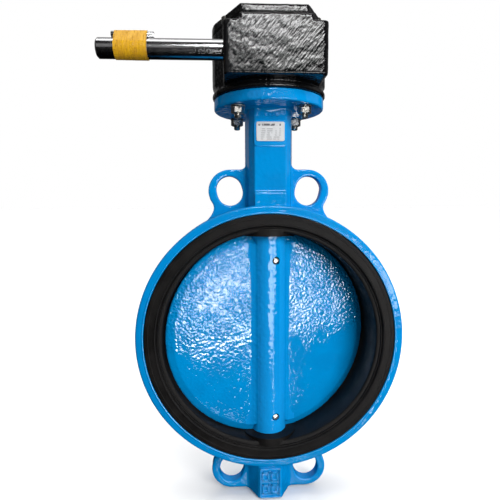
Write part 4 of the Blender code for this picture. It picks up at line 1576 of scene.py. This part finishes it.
def dress_frame(finishes: Finishes) -> None:
    """Give each CAD node that still shows its finish.

    Args:
        finishes: All finishes of the valve.
    """
    plan = ((finishes.steel_up, ("upper_stem", "lower_stem", "stem_key", "worm_pin")),
            (finishes.steel_along, ("worm",)),
            (finishes.bronze, ("worm_wheel", "worm_bearing_inner", "worm_bearing_outer")),
            (finishes.polymer, ("lower_bush", "middle_bush", "top_bush")),
            (finishes.rubber, ("lower_stem_seal", "upper_stem_seal", "top_stem_seal",
                               "shaft_seal", "cover_gasket")),
            (finishes.zinc, ("bottom_plug",)))
    for coat, nodes in plan:
        for name in nodes:
            node = frame["nodes"][name]
            for place in node.material_slots:
                place.material = coat.material
            LOG.info("%s: %s", name, coat.material.name)


# ------------------------------------------------------------------ studio
@dataclass
class Studio:
    """Plain pale room with soft lights and the camera."""

    eye: tuple = (-0.0442, -0.5062, 0.3507)
    yaw: float = math.radians(2.78)
    pitch: float = math.radians(-5.75)
    roll: float = math.radians(-0.21)
    lens: float = 30.55
    shift: tuple = (-0.0042, -0.0004)
    floor_size: float = 300.0
    air_fade: float = 0.35
    air_front: float = 0.55
    wash: float = 1.6
    deep: float = 0.28
    bar_y: float = -0.78
    bar_step: float = 0.01
    bar_share: float = 0.45

    def floor(self) -> None:
        """Matt pale floor under the valve."""
        Bench.clear()
        bpy.ops.mesh.primitive_plane_add(size=self.floor_size, location=(0, 0, -0.0002))
        floor = bpy.context.object
        floor.name = "studio_floor"
        recipe = Recipe("pale_floor")
        cloud = recipe.step(recipe.grain(0.4, detail=3), 0.3, 0.7)
        colour = recipe.tint(cloud, opaque(0.83, 0.83, 0.83), opaque(0.81, 0.81, 0.81))
        floor.data.materials.append(recipe.dress(Base_Color=colour, Roughness=0.9 + cloud * 0.05,
                                                 Specular_IOR_Level=0.1))
        floor.visible_glossy = floor.visible_diffuse = False
        wash = bpy.data.lights.new("floor_wash", "SUN")
        wash.energy, wash.angle = self.wash, 1.0
        lamp = bpy.data.objects.new("floor_wash", wash)
        bpy.context.collection.objects.link(lamp)
        lit = bpy.data.collections.new("floor_only")
        lit.objects.link(floor)
        lamp.light_linking.receiver_collection = lit

    def flag(self) -> None:
        """Black cloth on the left, which keeps light off the faces that look there."""
        card = Bench.block("studio_flag", (-1.01, -1.2, 0.02), (-1.0, 0.2, 1.6))
        recipe = Recipe("card_black")
        felt = recipe.grain(0.02)
        card.data.materials.append(recipe.dress(Base_Color=opaque(0.02, 0.02, 0.02),
                                                Roughness=0.9 + felt * 0.1))
        card.visible_camera = card.visible_shadow = False

    def softbox(self, name: str, place: tuple, target: tuple, size: tuple, power: float,
                seen: tuple = (True, True)) -> Piece:
        """Rectangular soft light.

        Args:
            name: Name of the light.
            place: Where it stands.
            target: Point it faces.
            size: Width and height.
            power: Power in watts.
            seen: Whether matt surfaces and polished surfaces see it.

        Returns:
            The light.
        """
        light = bpy.data.lights.new(name, "AREA")
        light.shape = "RECTANGLE"
        light.size, light.size_y = size
        light.energy = power
        lamp = bpy.data.objects.new(name, light)
        aim = Vector(target) - Vector(place)
        turn = aim.to_track_quat("-Z", "Y").to_matrix().to_4x4()
        lamp.matrix_world = Matrix.Translation(place) @ turn
        lamp.visible_diffuse, lamp.visible_glossy = seen
        bpy.context.collection.objects.link(lamp)
        return lamp

    def bars(self, name: str, across: tuple, low: float, high: float, count: int,
             glow: float, pieces: tuple = ()) -> None:
        """Row of bright bars in front of the valve, which only its gloss reflects.

        Args:
            name: Name of the bars.
            across: Their left and right ends.
            low: Height of the row's foot.
            high: Height of the row's top.
            count: Number of bars.
            glow: Brightness of a bar.
            pieces: Names of the pieces that they light; all at ().
        """
        pitch = (high - low) / count
        width = across[1] - across[0]
        height = pitch * (self.bar_share if count > 1 else 1)
        stand = self.bar_y + (self.bar_step if pieces else 0)
        for number in range(count):
            place = (sum(across) / 2, stand, low + pitch * (number + 0.5))
            lamp = self.softbox(f"{name}_{number + 1}", place, (place[0], 0, place[2]),
                                (width, height), math.pi * width * height * glow, (False, True))
            if pieces:
                lit = bpy.data.collections.new(f"{name}_lit")
                for piece in pieces:
                    lit.objects.link(bpy.data.objects[piece])
                lamp.light_linking.receiver_collection = lit

    def lights(self) -> None:
        """Softboxes and the pale surroundings."""
        world = bpy.data.worlds.new("studio_air")
        wiring = Wiring(world)
        way = wiring.node("ShaderNodeTexCoord", {}, {}).outputs["Generated"]
        _, depth, rise = wiring.parts(way)
        strength = wiring.step(depth, -self.air_fade, self.air_fade, self.air_front)
        above = rise.maths("GREATER_THAN", rise, -0.01)
        strength = Amount(wiring.node("ShaderNodeMix", {}, {"Factor": above, 2: self.deep,
                                                            3: strength}).outputs[0])
        seen = wiring.node("ShaderNodeLightPath", {}, {}).outputs["Is Camera Ray"]
        air = wiring.tree.nodes["Background"]
        wiring.feed(air.inputs["Color"], opaque(1.0, 1.0, 1.0))
        wiring.feed(air.inputs["Strength"], strength.maths("MAXIMUM", strength, Amount(seen)))
        world.cycles_visibility.glossy = False
        bpy.context.scene.world = world
        target = (0, 0, 0.28)
        matt, gloss = (True, False), (False, True)
        self.softbox("key", (0.8, -1.3, 0.8), target, (1.0, 1.0), 27, matt)
        self.softbox("rear", (0.4, 1.7, 1.1), target, (1.0, 0.8), 8, matt)
        self.softbox("ceiling", (0.0, -0.2, 1.9), target, (1.2, 0.6), 5)
        self.softbox("sky", (0, 0.6, 3.2), target, (6, 4), 34, gloss)
        self.softbox("wall_behind", (0, 4, 1.3), target, (7, 3.2), 14, gloss)
        self.softbox("wall_left", (-3.6, 0.5, 1.2), target, (3, 2.6), 1.5, gloss)
        self.softbox("wall_right", (3.6, 0.5, 1.2), target, (3, 2.6), 5, gloss)
        self.bars("bar_slim", (0.385, 0.415), -0.38, 0.24, 1, 16)
        self.bars("bar_left", (0.02, 0.350), -0.085, 0.275, 1, 8)
        self.bars("bar_right", (0.46, 0.74), 0.06, 0.275, 1, 8)
        self.bars("bar_top", (-0.10, 0.23), 0.70, 0.84, 3, 11)
        self.bars("bar_high", (-0.10, 0.25), 0.852, 0.96, 1, 24)
        self.bars("bar_low", (-0.10, 0.25), -0.52, -0.49, 1, 7)
        self.bars("bar_grey", (-0.80, -0.14), 0.48, 0.95, 1, 0.22)

    def sparkle(self) -> None:
        """Brighter bars for the disc alone, once its pieces are there."""
        pieces = ("disc_plate", "disc_marks_left", "disc_marks_right", "taper_pin_upper_turned",
                  "taper_pin_lower_turned")
        self.bars("bar_disc_left", (0.02, 0.350), -0.03, 0.275, 1, 26, pieces)
        self.bars("bar_disc_right", (0.46, 0.74), 0.115, 0.275, 1, 22, pieces)

    def camera(self) -> None:
        """Camera, level with the operator's foot and a little left of the stem."""
        ahead = Vector((math.sin(self.yaw) * math.cos(self.pitch),
                        math.cos(self.yaw) * math.cos(self.pitch), math.sin(self.pitch)))
        right = Vector((math.cos(self.yaw), -math.sin(self.yaw), 0))
        up = right.cross(ahead)
        sine, cosine = math.sin(self.roll), math.cos(self.roll)
        across, over = right * cosine + up * sine, up * cosine - right * sine
        lens = bpy.data.cameras.new("camera")
        lens.sensor_width = 36.0
        lens.lens = self.lens
        lens.shift_x, lens.shift_y = self.shift
        lens.clip_start = 0.01
        camera = bpy.data.objects.new("camera", lens)
        turn = Matrix((across, over, -ahead)).transposed().to_4x4()
        camera.matrix_world = Matrix.Translation(self.eye) @ turn
        bpy.context.collection.objects.link(camera)
        bpy.context.scene.camera = camera

    def build(self) -> None:
        """Set up the studio."""
        bpy.context.scene.view_settings.view_transform = "Standard"
        self.floor()
        self.flag()
        self.lights()
        self.camera()


def main() -> None:
    """Build the valve's looks, one sub-assembly after another."""
    logging.basicConfig(level=logging.INFO, format="%(message)s")
    finishes = Finishes()
    studio = Studio()
    studio.build()
    for assembly in (ValveBody, SeatLiner, Disc, GearOperator, InputDrive, Fasteners):
        LOG.info("-- %s", assembly.__name__)
        assembly(finishes).build()
    dress_frame(finishes)
    studio.sparkle()


if __name__ == "__main__":
    main()
